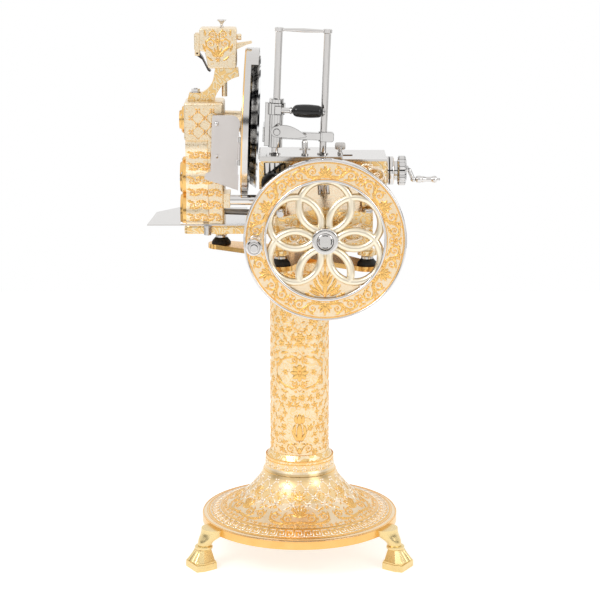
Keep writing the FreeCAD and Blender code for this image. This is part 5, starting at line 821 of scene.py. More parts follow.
class Repeat:
    """A Geometry Nodes tree that sets copies of a piece round an axis."""

    round_tree: Optional[Tree] = None

    @staticmethod
    def make_round_tree() -> Tree:
        """Build the tree that turns copies about an axis."""
        tree = bpy.data.node_groups.new("copies round an axis", "GeometryNodeTree")
        for label, kind in (("Geometry", "Geometry"), ("Count", "Int"), ("Step", "Float"),
                                            ("Centre", "Vector"), ("Axis", "Vector"), ("Finish", "Material")):
            tree.interface.new_socket(label, in_out="INPUT", socket_type="NodeSocket" + kind)
        tree.interface.new_socket("Geometry", in_out="OUTPUT", socket_type="NodeSocketGeometry")
        start = add_node(tree, "NodeGroupInput").outputs
        back = add_node(tree, "ShaderNodeVectorMath", {"operation": "SCALE", "Scale": -1.0, 0: start["Centre"]})
        model = add_node(tree, "GeometryNodeTransform", {"Geometry": start["Geometry"], "Translation": back})
        places = add_node(tree, "GeometryNodeMeshLine", {"Offset": (0, 0, 0), "Count": start["Count"],
                                                         "Start Location": start["Centre"]})
        angle = sums(tree, "MULTIPLY", add_node(tree, "GeometryNodeInputIndex"), start["Step"])
        turn = add_node(tree, "FunctionNodeAxisAngleToRotation", {"Axis": start["Axis"], "Angle": angle})
        copies = add_node(tree, "GeometryNodeInstanceOnPoints", {"Points": places, "Instance": model,
                                                                 "Rotation": turn})
        real = add_node(tree, "GeometryNodeRealizeInstances", {0: copies})
        dressed = add_node(tree, "GeometryNodeSetMaterial", {"Geometry": real, "Material": start["Finish"]})
        add_node(tree, "NodeGroupOutput", {0: dressed})
        return tree

    @classmethod
    def round(cls, piece: Piece, count: int, centre: Vector, axis: Vector, finish: Finish,
              step: Optional[float] = None) -> Piece:
        """Set copies of a piece round an axis, and keep the result as its plain mesh.

        Args:
            piece: The piece to copy.
            count: Number of copies.
            centre: A point on the axis.
            axis: Direction of the axis.
            finish: Finish of the result.
            step: Angle between copies in degrees, or None for an even share of a full turn.

        Returns:
            The same piece, now all its copies.
        """
        cls.round_tree = cls.round_tree or cls.make_round_tree()
        angle = math.radians(360 / count if step is None else step)
        values = {"Count": count, "Step": angle, "Centre": tuple(centre), "Axis": tuple(axis),
                  "Finish": finish.material}
        modifier = piece.modifiers.new("copies", "NODES")
        modifier.node_group = cls.round_tree
        for item in cls.round_tree.interface.items_tree:
            if item.in_out == "INPUT" and item.name in values:
                modifier[item.identifier] = values[item.name]
        depsgraph = bpy.context.evaluated_depsgraph_get()
        mesh = bpy.data.meshes.new_from_object(piece.evaluated_get(depsgraph), depsgraph=depsgraph)
        piece.modifiers.remove(modifier)
        old = piece.data
        piece.data = mesh
        mesh.name = piece.name
        bpy.data.meshes.remove(old)
        return piece


# ---------------------------------------------------------------- help for the sub-assemblies

def dress(finish: Finish, *nodes: str) -> None:
    """Give solids their finish."""
    for node in nodes:
        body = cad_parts[node]
        if not body.material_slots:
            body.data.materials.append(finish.material)
        for slot in body.material_slots:
            slot.material = finish.material


def settle(piece: Piece, body: str, slot: str, *replaced: str) -> Piece:
    """Make a piece ride on a body, and hide the solids that it stands for."""
    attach(piece, body)
    if replaced:
        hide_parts(*replaced)
    log.info("%s rides on %s", piece.name, body)
    return piece


def gild(piece: Piece, body: str = "stand") -> Piece:
    """Make a piece of gilded ornament ride on a body."""
    return settle(piece, body, "engraved_gold")


def slab(name: str, outline: list[Point], surface: Surface, finish: Finish, sink: float,
         rise: float) -> Piece:
    """Make a thin plate over a surface.

    Args:
        name: The piece's name.
        outline: Its outline on the surface, in millimetres.
        surface: The surface that it lies on.
        finish: The piece's finish.
        sink: How far it goes into the surface, in millimetres.
        rise: How far it stands out, in millimetres.

    Returns:
        The new object.
    """
    maker = bmesh.new()
    loops = [[maker.verts.new(surface(u, v, height)) for u, v in outline] for height in (-sink, rise)]
    bridge(maker, loops)
    return new_object(name, maker, finish, False)


def middle(node: str) -> Vector:
    """Middle of a solid's box."""
    low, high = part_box(node)
    return (low + high) / 2


def joined(name: str, pieces: list[Piece]) -> Piece:
    """Join pieces into one mesh."""
    maker = bmesh.new()
    for piece in pieces:
        maker.from_mesh(piece.data)
    whole = link_piece(name, maker, pieces[0].data.materials[0])
    for piece in pieces:
        bpy.data.objects.remove(piece)
    return whole


# ---------------------------------------------------------------- flywheel

@dataclass
class Flywheel:
    """The wheel with its ornamented rim, ring spokes, lower panel and hub. Sizes are in millimetres."""

    rim_inner: float = 147.5
    rim_outer: float = 192.6
    rim_width: float = 26.0
    border: float = 3.0
    recess: float = 0.8
    ring_centre: float = 83.5
    ring_radius: float = 63.0
    tube: float = 9.6
    hub_radius: float = 30.0
    panel_depth: float = 9.0
    units: int = 6
    centre: Vector = field(default_factory=lambda: middle("flywheel_bands"))

    @property
    def face(self) -> float:
        """Y of the rim's front face."""
        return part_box("flywheel_casting")[0].y

    @property
    def middle_radius(self) -> float:
        """Radius of the middle of the rim's face."""
        return (self.rim_inner + self.rim_outer) / 2

    def front(self, depth: float = 0.0) -> Vector:
        """The wheel's axis at a depth behind the rim's face, in millimetres."""
        return Vector((self.centre.x, self.face + depth * MM, self.centre.z))

    def rim_unit(self) -> Drawing:
        """One sixth of the rim's ornament: a palmette between scrolls, and a flower at the end."""
        half = Drawing()
        half.scroll((6, -15), 20, (31, 1), 13.5, -95, 1, 6.8, 6, 1.2)
        half.scroll((28, -16), 0, (65, -1), 13.0, 95, -1, 6.6, 6, 1.2)
        half.leaves((44, 16, -12, 17, 6.5, -30), (47, -15, -4, 16, 6.0, 40), (80, 14, 0, 12, 6.0, -50),
                    (82, -14, 4, 11, 5.5, 50))
        unit = half.both_sides()
        unit.spray(0, -13, 90, 30, 10.5, 140, 7, 26)
        unit.beads.append((0, -14, 3.6))
        unit.rosette(89.4, 0, 9.5, 6)
        return unit

    def build_rim(self) -> None:
        """Make the rim with its raised borders and ornament."""
        inner, outer, edge, dip = self.rim_inner, self.rim_outer, self.border, self.recess
        section = [(inner, self.rim_width), (inner, 0.4), (inner + 0.4, 0), (inner + edge, 0),
                   (inner + edge + 0.6, dip), (outer - edge - 0.6, dip), (outer - edge, 0), (outer, 0),
                   (outer, self.rim_width)]
        rim = turned_piece("flywheel_rim", section, self.front(), AWAY, Finish.GROUND, 144)
        settle(rim, "flywheel", "engraved_gold", "flywheel_casting")
        face = RimFace(self.front(dip), self.middle_radius)
        scrolls = lay("flywheel_rim_scrolls", self.rim_unit(), face, Finish.RELIEF, 1.9)
        Repeat.round(scrolls, self.units, self.front(), AWAY, Finish.RELIEF)
        gild(scrolls, "flywheel")
        edges = []
        for name, radius in (("inner", inner + edge / 2 + 0.8), ("outer", outer - edge / 2 - 0.4)):
            bead = [(radius - 1.2, 0.2), (radius - 0.7, -0.7), (radius + 0.7, -0.7), (radius + 1.2, 0.2)]
            edges.append(turned_piece("edge_" + name, bead, self.front(), AWAY, Finish.GILT, 144))
        settle(joined("flywheel_rim_edges", edges), "flywheel", "plain_gold")

    def build_bands(self) -> None:
        """Make the two bright bands with rounded fronts, which mirror the room as thin lines."""
        low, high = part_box("flywheel_bands")
        outer, depth = (high.x - low.x) / 2 / MM, (high.y - low.y) / MM
        front = Vector((self.centre.x, low.y, self.centre.z))
        bands = []
        for start, end, length in ((self.rim_outer - 0.1, outer, depth), (143.0, self.rim_inner + 2.3, 4.5)):
            middle_radius, half = (start + end) / 2, (end - start) / 2
            bow = [math.radians(180 - 22.5 * index) for index in range(9)]
            section = [(middle_radius + half * math.cos(a), 2.2 - 2.2 * math.sin(a)) for a in bow]
            section += [(end, length), (start, length)]
            bands.append(turned_piece("band", section, front, AWAY, Finish.CHROME, 192))
        settle(joined("flywheel_bright_bands", bands), "flywheel", "chrome", "flywheel_bands")

    def ring_middle(self, degrees: float) -> Vector:
        """Middle of the ring spoke that stands at an angle."""
        across, up = polar(self.ring_centre * MM, degrees)
        return self.front(self.rim_width / 2) + Vector((across, 0, up))

    def build_spokes(self) -> None:
        """Make the interlaced rings and the hub. The lowest ring ends at the panel."""
        turns = [2 * math.pi * index / 16 for index in range(16)]
        section = [(self.ring_radius + self.tube * math.cos(a), self.tube * math.sin(a)) for a in turns]
        rings = turned_piece("flywheel_ring_spokes", section, self.ring_middle(330), AWAY, Finish.SATIN, 72)
        Repeat.round(rings, self.units - 1, self.front(), -AWAY, Finish.SATIN, 60)
        settle(rings, "flywheel", "plain_gold")
        maker = bmesh.new()
        loops = []
        lowest = self.ring_middle(270)
        for index in range(49):
            across, up = polar(1.0, -19 + 218 * index / 48)
            out = Vector((across, 0, up))
            loops.append([maker.verts.new(lowest + (out * radius + AWAY * height) * MM)
                          for radius, height in section])
        bridge(maker, loops)
        settle(new_object("flywheel_low_spoke", maker, Finish.SATIN), "flywheel", "plain_gold")
        hub = [(9, 0), (self.hub_radius, 0), (self.hub_radius + 2, 4), (self.hub_radius + 2, self.rim_width),
               (self.hub_radius, self.rim_width + 6), (9, self.rim_width + 6)]
        settle(turned_piece("flywheel_hub", hub, self.front(), AWAY, Finish.SATIN), "flywheel", "plain_gold")

    def panel_outline(self) -> list[Point]:
        """Outline of the lower panel about the wheel's axis, between its neighbouring rings and the rim."""
        side = polar(self.ring_centre, -30)
        arc = [polar(self.ring_radius, 168 + 107 * index / 24, *side) for index in range(25)]
        reach = self.rim_inner + 1
        half = arc + [polar(reach, -54 - 36 * index / 16) for index in range(16)]
        return half + [(0.0, -reach)] + [(-x, z) for x, z in reversed(half)]

    def build_panel(self) -> None:
        """Make the filled lower panel with its palmette."""
        face = FlatFace(self.front(self.rim_width / 2 - self.panel_depth / 2), RIGHT, UP)
        panel = slab("flywheel_panel", self.panel_outline(), face, Finish.GROUND, self.panel_depth, 0.0)
        gild(panel, "flywheel")
        half = Drawing()
        half.leaves((4, -138, 62, 48, 12, -8), (6, -134, 40, 38, 10, -14), (10, -138, 20, 34, 9, 10),
                    (3, -116, 58, 36, 9, 12), (3, -102, 64, 30, 8, 14), (24, -128, 45, 24, 8, 16),
                    (34, -138, 14, 18, 7, 30), (26, -140, 4, 16, 6, 10), (18, -110, 56, 22, 7, 20),
                    (4, -66, 76, 18, 5, -30))
        half.beads.append((40, -132, 2.6))
        half.beads.append((32, -112, 2.4))
        drawing = half.both_sides()
        drawing.leaves((0, -142, 90, 74, 13), (0, -80, 90, 36, 6))
        drawing.beads.append((0, -138, 4))
        gild(lay("flywheel_panel_palmette", drawing, face, Finish.RELIEF, 1.4), "flywheel")

    def build_hub_details(self) -> None:
        """Set a raised centre on the hub's cap, with a groove round it and dark notches of painted shade."""
        low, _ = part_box("hub_cap")
        front = Vector((self.centre.x, low.y, self.centre.z))
        button = [(0, -2.6), (16.5, -2.6), (17.5, -1.6), (17.5, 1), (0, 1)]
        rim = [(21, 0.4), (21, -0.5), (24, -1.1), (29, -0.9), (31.5, 0.4)]
        pieces = [turned_piece("button", button, front, AWAY, Finish.STEEL, 48),
                  turned_piece("rim", rim, front, AWAY, Finish.STEEL, 64)]
        settle(joined("hub_cap_button", pieces), "flywheel", "chrome")
        # Dark strips of black resin are painted shade where the notches are
        notch_shade = Drawing()
        notch_shade.strokes.append([(15.2 * math.sin(a), 15.2 * math.cos(a), 1.6) for a in
                              [math.radians(-26 + 6.5 * index) for index in range(9)]])
        shade = lay("hub_cap_notch_painted_shade", notch_shade, FlatFace(front - AWAY * 2.4 * MM, RIGHT, UP), Finish.BLACK, 0.5)
        Repeat.round(shade, 4, front, AWAY, Finish.BLACK)
        settle(shade, "flywheel", "black_plastic")

    def build_grip(self) -> None:
        """Turn the crank grip, fullest at its end, with grooved rings on the end."""
        low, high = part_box("wheel_handle_grip")
        spot = middle("wheel_handle_grip")
        root = Vector((spot.x, high.y, spot.z))
        length = (high.y - low.y) / MM
        profile = [(5.1, 0), (13, 0), (14, 2.5), (12.5, 6), (9.5, 9), (9.5, 14), (12, 24), (15, 40), (18.5, 56),
                   (20.5, length - 12), (20.5, length - 5), (18.5, length - 1.2), (15.5, length - 0.4),
                   (14.6, length - 2.2), (13.4, length - 2.2), (12.4, length - 0.2), (9.4, length),
                   (8.9, length - 1.4), (5.1, length - 1.4)]
        grip = turned_piece("wheel_turned_grip", profile, root, -AWAY, Finish.CHROME, 56)
        settle(grip, "wheel_grip", "chrome", "wheel_handle_grip")

    def build(self) -> None:
        """Build and dress the whole wheel."""
        self.build_rim()
        self.build_bands()
        self.build_spokes()
        self.build_panel()
        self.build_hub_details()
        self.build_grip()
        dress(Finish.CHROME, "hub_cap", "handle_spindle")
        dress(Finish.GEAR, "main_shaft", "main_bevel_gear", "crank_pinion", "crank_gear", "connecting_rod")


# ---------------------------------------------------------------- pedestal

@dataclass
class Pedestal:
    """Feet, round base, collar, column and top plate."""

    radius: float = 75.0
    vine_bottom: float = 280.0
    vine_height: float = 500.0
    leaf_pitch: float = 23.0
    leaf_size: float = 1.3
    oval_height: float = 498.0
    collar_bottom: float = 237.5
    collar_radius: float = 87.5
    base_radius: float = 254.0
    base_top: float = 108.5
    sectors: int = 6
    lattice_count: int = 20
    key_radius: float = 221.0
    key_count: int = 60
    outline: Optional[TurnedFace] = None

    @property
    def axis(self) -> Vector:
        """The foot of the column's axis."""
        spot = middle("pedestal_column")
        return Vector((spot.x, spot.y, 0))

    def foliage(self, parts: int, seed: int,
                free: Callable[[float, float], bool] = lambda u, v: True) -> Drawing:
        """Leaves over one of several parts of the column's circumference, where they are free to stand."""
        size = self.leaf_size
        leaves = Drawing().scatter(part_of_circle(self.radius, parts) / size, self.vine_height / size,
                                   self.leaf_pitch / size, seed, lambda u, v: free(u * size, v * size))
        return Drawing().add(leaves, (0, 0), size)

    def front_vine(self) -> Drawing:
        """The front third of the column's foliage, with the oval and the vase left free."""
        oval = self.oval_height - self.vine_bottom

        def free(u: float, v: float) -> bool:
            """Whether a point is clear of the oval and of the vase."""
            in_oval = (u / 76) ** 2 + ((v - oval) / 62) ** 2 < 1
            in_vase = abs(u) < 30 and v < 116
            return not in_oval and not in_vase

        sheet = self.foliage(3, 5, free)
        for side in (1, -1):
            sheet.curl(side * 20, oval + 70, 90 - side * 20, 60, 3.0, side * 150, 0.6, 14, 0.8)
            sheet.ivy(side * 2, oval + 84 + side * 9, 90 + side * 30, 15)
        return sheet

    def cartouche(self) -> Drawing:
        """Oval of leafy branches with a plain flower in it, and lattice knots above and below."""
        half = Drawing()
        for side in (1, -1):
            half.scroll((66, 0), 90 * side, (14, side * 33), 9, side * 80, side, 5.5, 7)
            half.leaves((60, side * 10, side * 110, 26, 6.5, side * 26),
                        (48, side * 30, side * 140, 24, 6.5, side * 22),
                        (70, side * 22, side * 120, 20, 8.5, side * 30),
                        (52, side * 47, side * 150, 24, 9, side * 30))
            half.line([(0, side * 50), (8, side * 42), (0, side * 34)], 2.6)
            half.beads.append((10, side * 51, 3.4))
            half.beads.append((10, side * 35, 3.4))
        drawing = half.both_sides()
        drawing.rosette(0, 0, 24, 8)
        drawing.rosette(0, 0, 11, 6)
        for side in (-1, 1):
            drawing.ivy(side * 36, 0, 90 - side * 90, 12)
        return drawing

    def column_foot(self) -> Drawing:
        """Twisted vase on a pair of scrolls, at the column's foot."""
        half = Drawing()
        half.scroll((2, 2), 60, (18, 12), 9, 100, -1, 3.4, 3)
        half.leaves((26, 2, 20, 12, 4.5, 40), (4, 26, 76, 28, 8, -22), (11, 40, 84, 24, 8, 24),
                    (5, 62, 70, 22, 8, 26))
        drawing = half.both_sides()
        drawing.leaf(0, 0, 90, 16, 8)
        drawing.line([(-11, 22), (11, 22)], 4)
        drawing.leaves((0, 24, 90, 44, 13), (0, 60, 90, 26, 11))
        return drawing

    def build_column(self) -> None:
        """Lay the column's foliage, cartouche and foot ornament."""
        gold = Finish.RELIEF
        face = RoundFace(self.axis + UP * self.vine_bottom * MM, self.radius)
        sector = part_of_circle(self.radius, self.sectors)
        sheet = lay("column_foliage", Drawing().add(self.foliage(self.sectors, 11), (1.5 * sector, 0)), face, gold, 1.0)
        Repeat.round(sheet, 4, self.axis, UP, gold, 60)
        gild(sheet)
        gild(lay("column_front_foliage", self.front_vine(), face, gold, 1.0))
        oval_face = RoundFace(self.axis + UP * self.oval_height * MM, self.radius)
        gild(lay("column_cartouche", self.cartouche(), oval_face, gold))
        foot = lay("column_foot_palmettes", Drawing().add(self.column_foot(), (0, 0), 1.3), face, gold, 1.4)
        gild(foot)

    def build_collar(self) -> None:
        """Lay a zigzag with quatrefoils on the collar's band over a warm gilded field, with two gilded lines above it.
        """
        band = part_of_circle(self.collar_radius, 2 * self.sectors)
        unit = Drawing()
        step = band / 2
        for place in (-1, 1):
            centre = place * step / 2
            unit.line([(centre - step / 2, -7.5), (centre, 6.5)], 2.4)
            unit.line([(centre, 6.5), (centre + step / 2, -7.5)], 2.4)
            unit.quatrefoil(centre, -2.5, 9.0)
        face = RoundFace(self.axis + UP * (self.collar_bottom + 8.5) * MM, self.collar_radius + 0.4)
        scrolls = lay("collar_scrolls", unit, face, Finish.PALE, 0.8)
        Repeat.round(scrolls, 2 * self.sectors, self.axis, UP, Finish.PALE)
        gild(scrolls)
        inner, outer = self.collar_radius - 1, self.collar_radius + 0.4
        band_edge = [(inner, 0.6), (outer, 0.6), (outer, 15.6), (inner, 15.6)]
        gild(self.ring("collar_lattice_field", band_edge, self.collar_bottom, Finish.WARM, 96))
        radius = self.collar_radius
        lines = []
        for height in (16.6, 25.5):
            bead = [(radius - 0.5, height - 1.6), (radius + 1.1, height - 0.8), (radius + 1.1, height + 0.8),
                    (radius - 0.5, height + 1.6)]
            lines.append(self.ring("line", bead, self.collar_bottom, Finish.GILT, 96))
        settle(joined("collar_lines", lines), "stand", "plain_gold")

    def ring(self, name: str, section: list[Point], height: float, finish: Finish, steps: int) -> Piece:
        """Turn a section about the column's axis, at a height in millimetres."""
        return turned_piece(name, section, self.axis + UP * height * MM, UP, finish, steps)

    def lattice(self, pitch: float, rows: int) -> Drawing:
        """Diamond lattice with quatrefoils at its crossings, for one step round the flare."""
        drawing = Drawing()
        reach = pitch * 0.62
        for row in range(rows):
            top = -row * 2 * reach
            for side in (1, -1):
                drawing.line([(0, top), (side * pitch / 2, top - reach)], 2.6)
                drawing.line([(side * pitch / 2, top - reach), (0, top - 2 * reach)], 2.6)
            drawing.quatrefoil(0, top, 9.5)
            drawing.quatrefoil(pitch / 2, top - reach, 9.5)
            drawing.beads.append((0, top - reach, 1.8))
        return drawing

    def key(self, width: float, height: float, line: float) -> Drawing:
        """One turn of a Greek key, with the line below it."""
        steps = ((0.0, 0.0), (0.0, 1.0), (0.74, 1.0), (0.74, 0.3), (0.36, 0.3), (0.36, 0.66))
        drawing = Drawing()
        path = [(width * (u - 0.5), height * (v - 0.5)) for u, v in steps]
        for start, end in zip(path, path[1:]):
            drawing.line([start, end], line)
        drawing.line([(-0.5 * width, -0.5 * height), (0.5 * width, -0.5 * height)], line)
        return drawing

    def band(self, name: str, drawing: Drawing, radius: float, count: int, finish: Finish,
             relief: float) -> Piece:
        """Lay a number of copies of a drawing round the base at a radius."""
        piece = lay(name, drawing, self.outline.at(radius), finish, relief)
        return Repeat.round(piece, count, self.axis, UP, finish)

    def build_base(self) -> None:
        """Lay the flare's lattice and palmettes, the swags, and the key band near the rim."""
        self.outline = TurnedFace("pedestal_base", self.axis, 91, self.base_radius - 4, self.key_radius)
        lattice = self.lattice(part_of_circle(104, self.lattice_count), 2)
        gild(self.band("flare_lattice", lattice, 98, self.lattice_count, Finish.PALE, 1.1))
        half = Drawing()
        half.scroll((4, -16), 20, (30, -2), 15, -95, 1, 7, 8)
        half.scroll((30, -20), 0, (66, 2), 13, -60, 1, 6.5, 7)
        half.leaves((50, 18, 20, 20, 7, 30), (12, 14, 50, 20, 7, 30), (52, -20, -10, 16, 6, 30))
        swag = half.both_sides()
        swag.spray(0, 2, 90, 46, 9, 110, 7, 20)
        swag.rosette(0, -16, 8, 6)
        palmette = Drawing()
        palmette.spray(0, 0, 90, 34, 8, 120, 7, 20)
        palmette.leaf(0, 2, 270, 16, 7)
        single, double = self.sectors, 2 * self.sectors
        flowers = Drawing().scatter(part_of_circle(192, double), 16, 15, 3)
        leaves = Drawing().scatter(part_of_circle(132, double), 60, 15, 8)
        pieces = [self.band(name, drawing, radius, count, Finish.RELIEF, relief)
                  for name, drawing, radius, count, relief in (
                      ("disc_swags", swag, 168, single, 1.3), ("disc_flowers", flowers, 200, double, 0.9),
                      ("flare_leaves", leaves, 150, double, 0.7), ("flare_palmettes", palmette, 128, single, 1.3))]
        gild(joined("base_ornament", pieces))
        turn = self.key(part_of_circle(self.key_radius, self.key_count), 25, 3.5)
        gild(self.band("disc_key", turn, self.key_radius, self.key_count, Finish.PALE, 1.1))
        rings = []
        for radius in (252.0, 242.0, 201.5, 93.5):
            height = self.outline.at(radius)(0, 0, 0).z / MM
            bead = [(radius - 1.4, -0.8), (radius - 0.8, 0.9), (radius + 0.8, 0.9), (radius + 1.2, -0.8)]
            rings.append(self.ring("line", bead, height, Finish.GILT, 128))
        settle(joined("base_ring_lines", rings), "stand", "plain_gold")
        for name, inner, outer, finish in (("disc_key_field", 203.5, 239.5, Finish.RELIEF),
                                           ("flare_lattice_field", 91.5, 133.0, Finish.WARM)):
            gild(self.gilded_band(name, inner, outer, finish))
        edge = [(self.base_radius - 3, 22.6), (self.base_radius + 0.4, 21.6), (self.base_radius + 0.4, 1.0),
                (self.base_radius - 3, 0.2)]
        settle(self.ring("disc_rim_polish", edge, self.base_top - 24, Finish.GILT, 160), "stand", "plain_gold")

    def gilded_band(self, name: str, inner: float, outer: float, finish: Finish) -> Piece:
        """Thin gilded field that follows the base between two radii."""
        steps = 12
        face = self.outline.at((inner + outer) / 2)
        start, end = (face.zero - face.length_at(radius) for radius in (outer, inner))
        levels = [start + (end - start) * index / steps for index in range(steps + 1)]
        upper = [face(0, level, 0.35) for level in levels]
        lower = [face(0, level, -0.4) for level in reversed(levels)]
        section = [((self.axis.y - spot.y) / MM, spot.z / MM) for spot in upper + lower]
        return self.ring(name, section, 0.0, finish, 160)

    def build(self) -> None:
        """Build and dress the pedestal."""
        self.build_column()
        self.build_collar()
        self.build_base()
        dress(Finish.GROUND, "pedestal_base")
        dress(Finish.VINE, "pedestal_column")
        dress(Finish.GOLDEN, "column_collar")
        dress(Finish.PALE_GILT, "pedestal_feet")
        dress(Finish.GILT, "pedestal_top_plate")


# ---------------------------------------------------------------- machine base

@dataclass
class MachineBase:
    """Base casting with its rails, feet and bearings."""

    scroll_height: float = 878.0

    def build(self) -> None:
        """Build and dress the base."""
        low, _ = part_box("base_casting")
        wheel = middle("flywheel_bands")
        face = CastFace("base_casting", Vector((wheel.x - 2 * MM, low.y, self.scroll_height * MM)))
        sheet = Drawing().rinceau(200, 66, 7)
        gild(lay("base_front_scrolls", sheet, face, Finish.PALE, 1.4))
        dress(Finish.GOLDEN, "base_casting")
        dress(Finish.CHROME, "slide_rails", "rail_clamps", "foot_studs", "fixing_screws")
        dress(Finish.BRONZE, "front_shaft_bush")
        dress(Finish.GEAR, "crank_bearing_block")
        dress(Finish.RUBBER, "rubber_feet")


# ---------------------------------------------------------------- tower, knife and sharpener

@dataclass
class Tower:
    """Gear tower with its covers and gears."""

    pitch: float = 36.0
    band: float = 84.0

    def build_front(self) -> None:
        """Lay the lattice on the box and bands of scrolls on the drums below it."""
        low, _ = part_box("gear_tower")
        face = CastFace("gear_tower", Vector((low.x, low.y, low.z)))
        half = self.pitch / 2
        cell = Drawing()
        for across, up in ((half, half), (half, -half)):
            cell.line([(0, 0), (across, up)], 2.2)
            cell.line([(across, up), (2 * across, 0)], 2.2)
        cell.quatrefoil(0, 0, 10)
        cell.quatrefoil(half, half, 10)
        box = Drawing()
        for row in range(2):
            for column in range(2):
                box.add(cell, (18 + column * self.pitch, 240 + row * self.pitch))
        gild(lay("tower_lattice", box, face, Finish.RELIEF, 1.2))
        bands = Drawing()
        for level, height in ((20, 24), (52, 26), (84, 24), (116, 24), (150, 22), (180, 22)):
            length, across = (self.band, 50) if level < 170 else (60, 38)
            bands.add(Drawing().rinceau(length, height, 4.2), (across, level))
        gild(lay("tower_scroll_bands", bands, face, Finish.RELIEF, 1.1))

    def build(self) -> None:
        """Build and dress the tower."""
        self.build_front()
        dress(Finish.ENGRAVED, "gear_tower")
        dress(Finish.GILT, "lower_gear_cover", "upper_gear_cover")
        dress(Finish.GEAR, "cross_shaft", "cross_bevel_pinion", "tower_drive_gear", "idler_gear_lower",
              "idler_gear_upper", "knife_pinion", "knife_shaft")


@dataclass
class Knife:
    """Knife, guard and deflector."""

    def build(self) -> None:
        """Dress the knife and its guard."""
        dress(Finish.KNIFE, "knife_blade")
        dress(Finish.CHROME, "knife_clamp_disc")
        dress(Finish.STEEL, "knife_guard_ring")
        low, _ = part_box("slice_deflector")
        for name, across, up, radius in (("deflector_screw", 32.0, 170.5, 5.0),
                                         ("deflector_lower_screw", 33.0, 88.5, 2.2)):
            dome = [(0, -1.0), (radius, -1.0), (radius, 0.8), (radius * 0.8, 1.8), (radius * 0.4, 2.3), (0, 2.5)]
            spot = Vector((low.x + across * MM, low.y, low.z + up * MM))
            settle(turned_piece(name, dome, spot, -AWAY, Finish.CHROME, 24), "deflector", "chrome")
        dress(Finish.STEEL, "guard_back_plate")
        edge = [(184.5, 2.0), (186.9, 2.0), (187.4, 3.0), (187.4, 7.4), (186.9, 8.2), (184.5, 8.2)]
        lean = Vector((math.cos(KNIFE_LEAN), 0, -math.sin(KNIFE_LEAN)))
        ring = turned_piece("guard_gilt_edge", edge, middle("guard_back_plate"), lean, Finish.GILT, 160)
        settle(ring, "stand", "plain_gold")
        dress(Finish.BLASTED, "slice_deflector")


@dataclass
class Sharpener:
    """Sharpener on top of the tower."""

    def build(self) -> None:
        """Build and dress the sharpener."""
        low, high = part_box("sharpener_head")
        face = CastFace("sharpener_head", Vector((low.x + 61 * MM, low.y, high.z - 50 * MM)))
        half = Drawing()
        half.scroll((3, -30), 60, (18, 8), 13, -60, 1, 5, 8)
        half.scroll((3, 4), 70, (14, 31), 8, 100, -1, 4, 5)
        half.leaves((30, -14, 60, 24, 7, 20), (12, -36, 20, 22, 6, 30), (32, 26, 100, 18, 6, -30),
                    (8, -20, 40, 22, 6, 20))
        drawing = half.both_sides()
        drawing.spray(0, -26, 90, 34, 7, 90, 5)
        drawing.rosette(0, -34, 7, 5)
        drawing.rosette(0, 14, 8, 6)
        scrolls = Drawing().add(drawing, (0, 4), 1.0)
        gild(lay("sharpener_scrolls", scrolls, face, Finish.RELIEF, 1.1), "sharpener_head")
        dress(Finish.ENGRAVED, "sharpener_head")
        dress(Finish.GOLDEN, "sharpener_bracket")
        dress(Finish.CHROME, "sharpener_knob")
        dress(Finish.BROWN, "sharpener_flap")
        dress(Finish.STONE, "sharpener_stones")


# ---------------------------------------------------------------- carriage, feed and holder

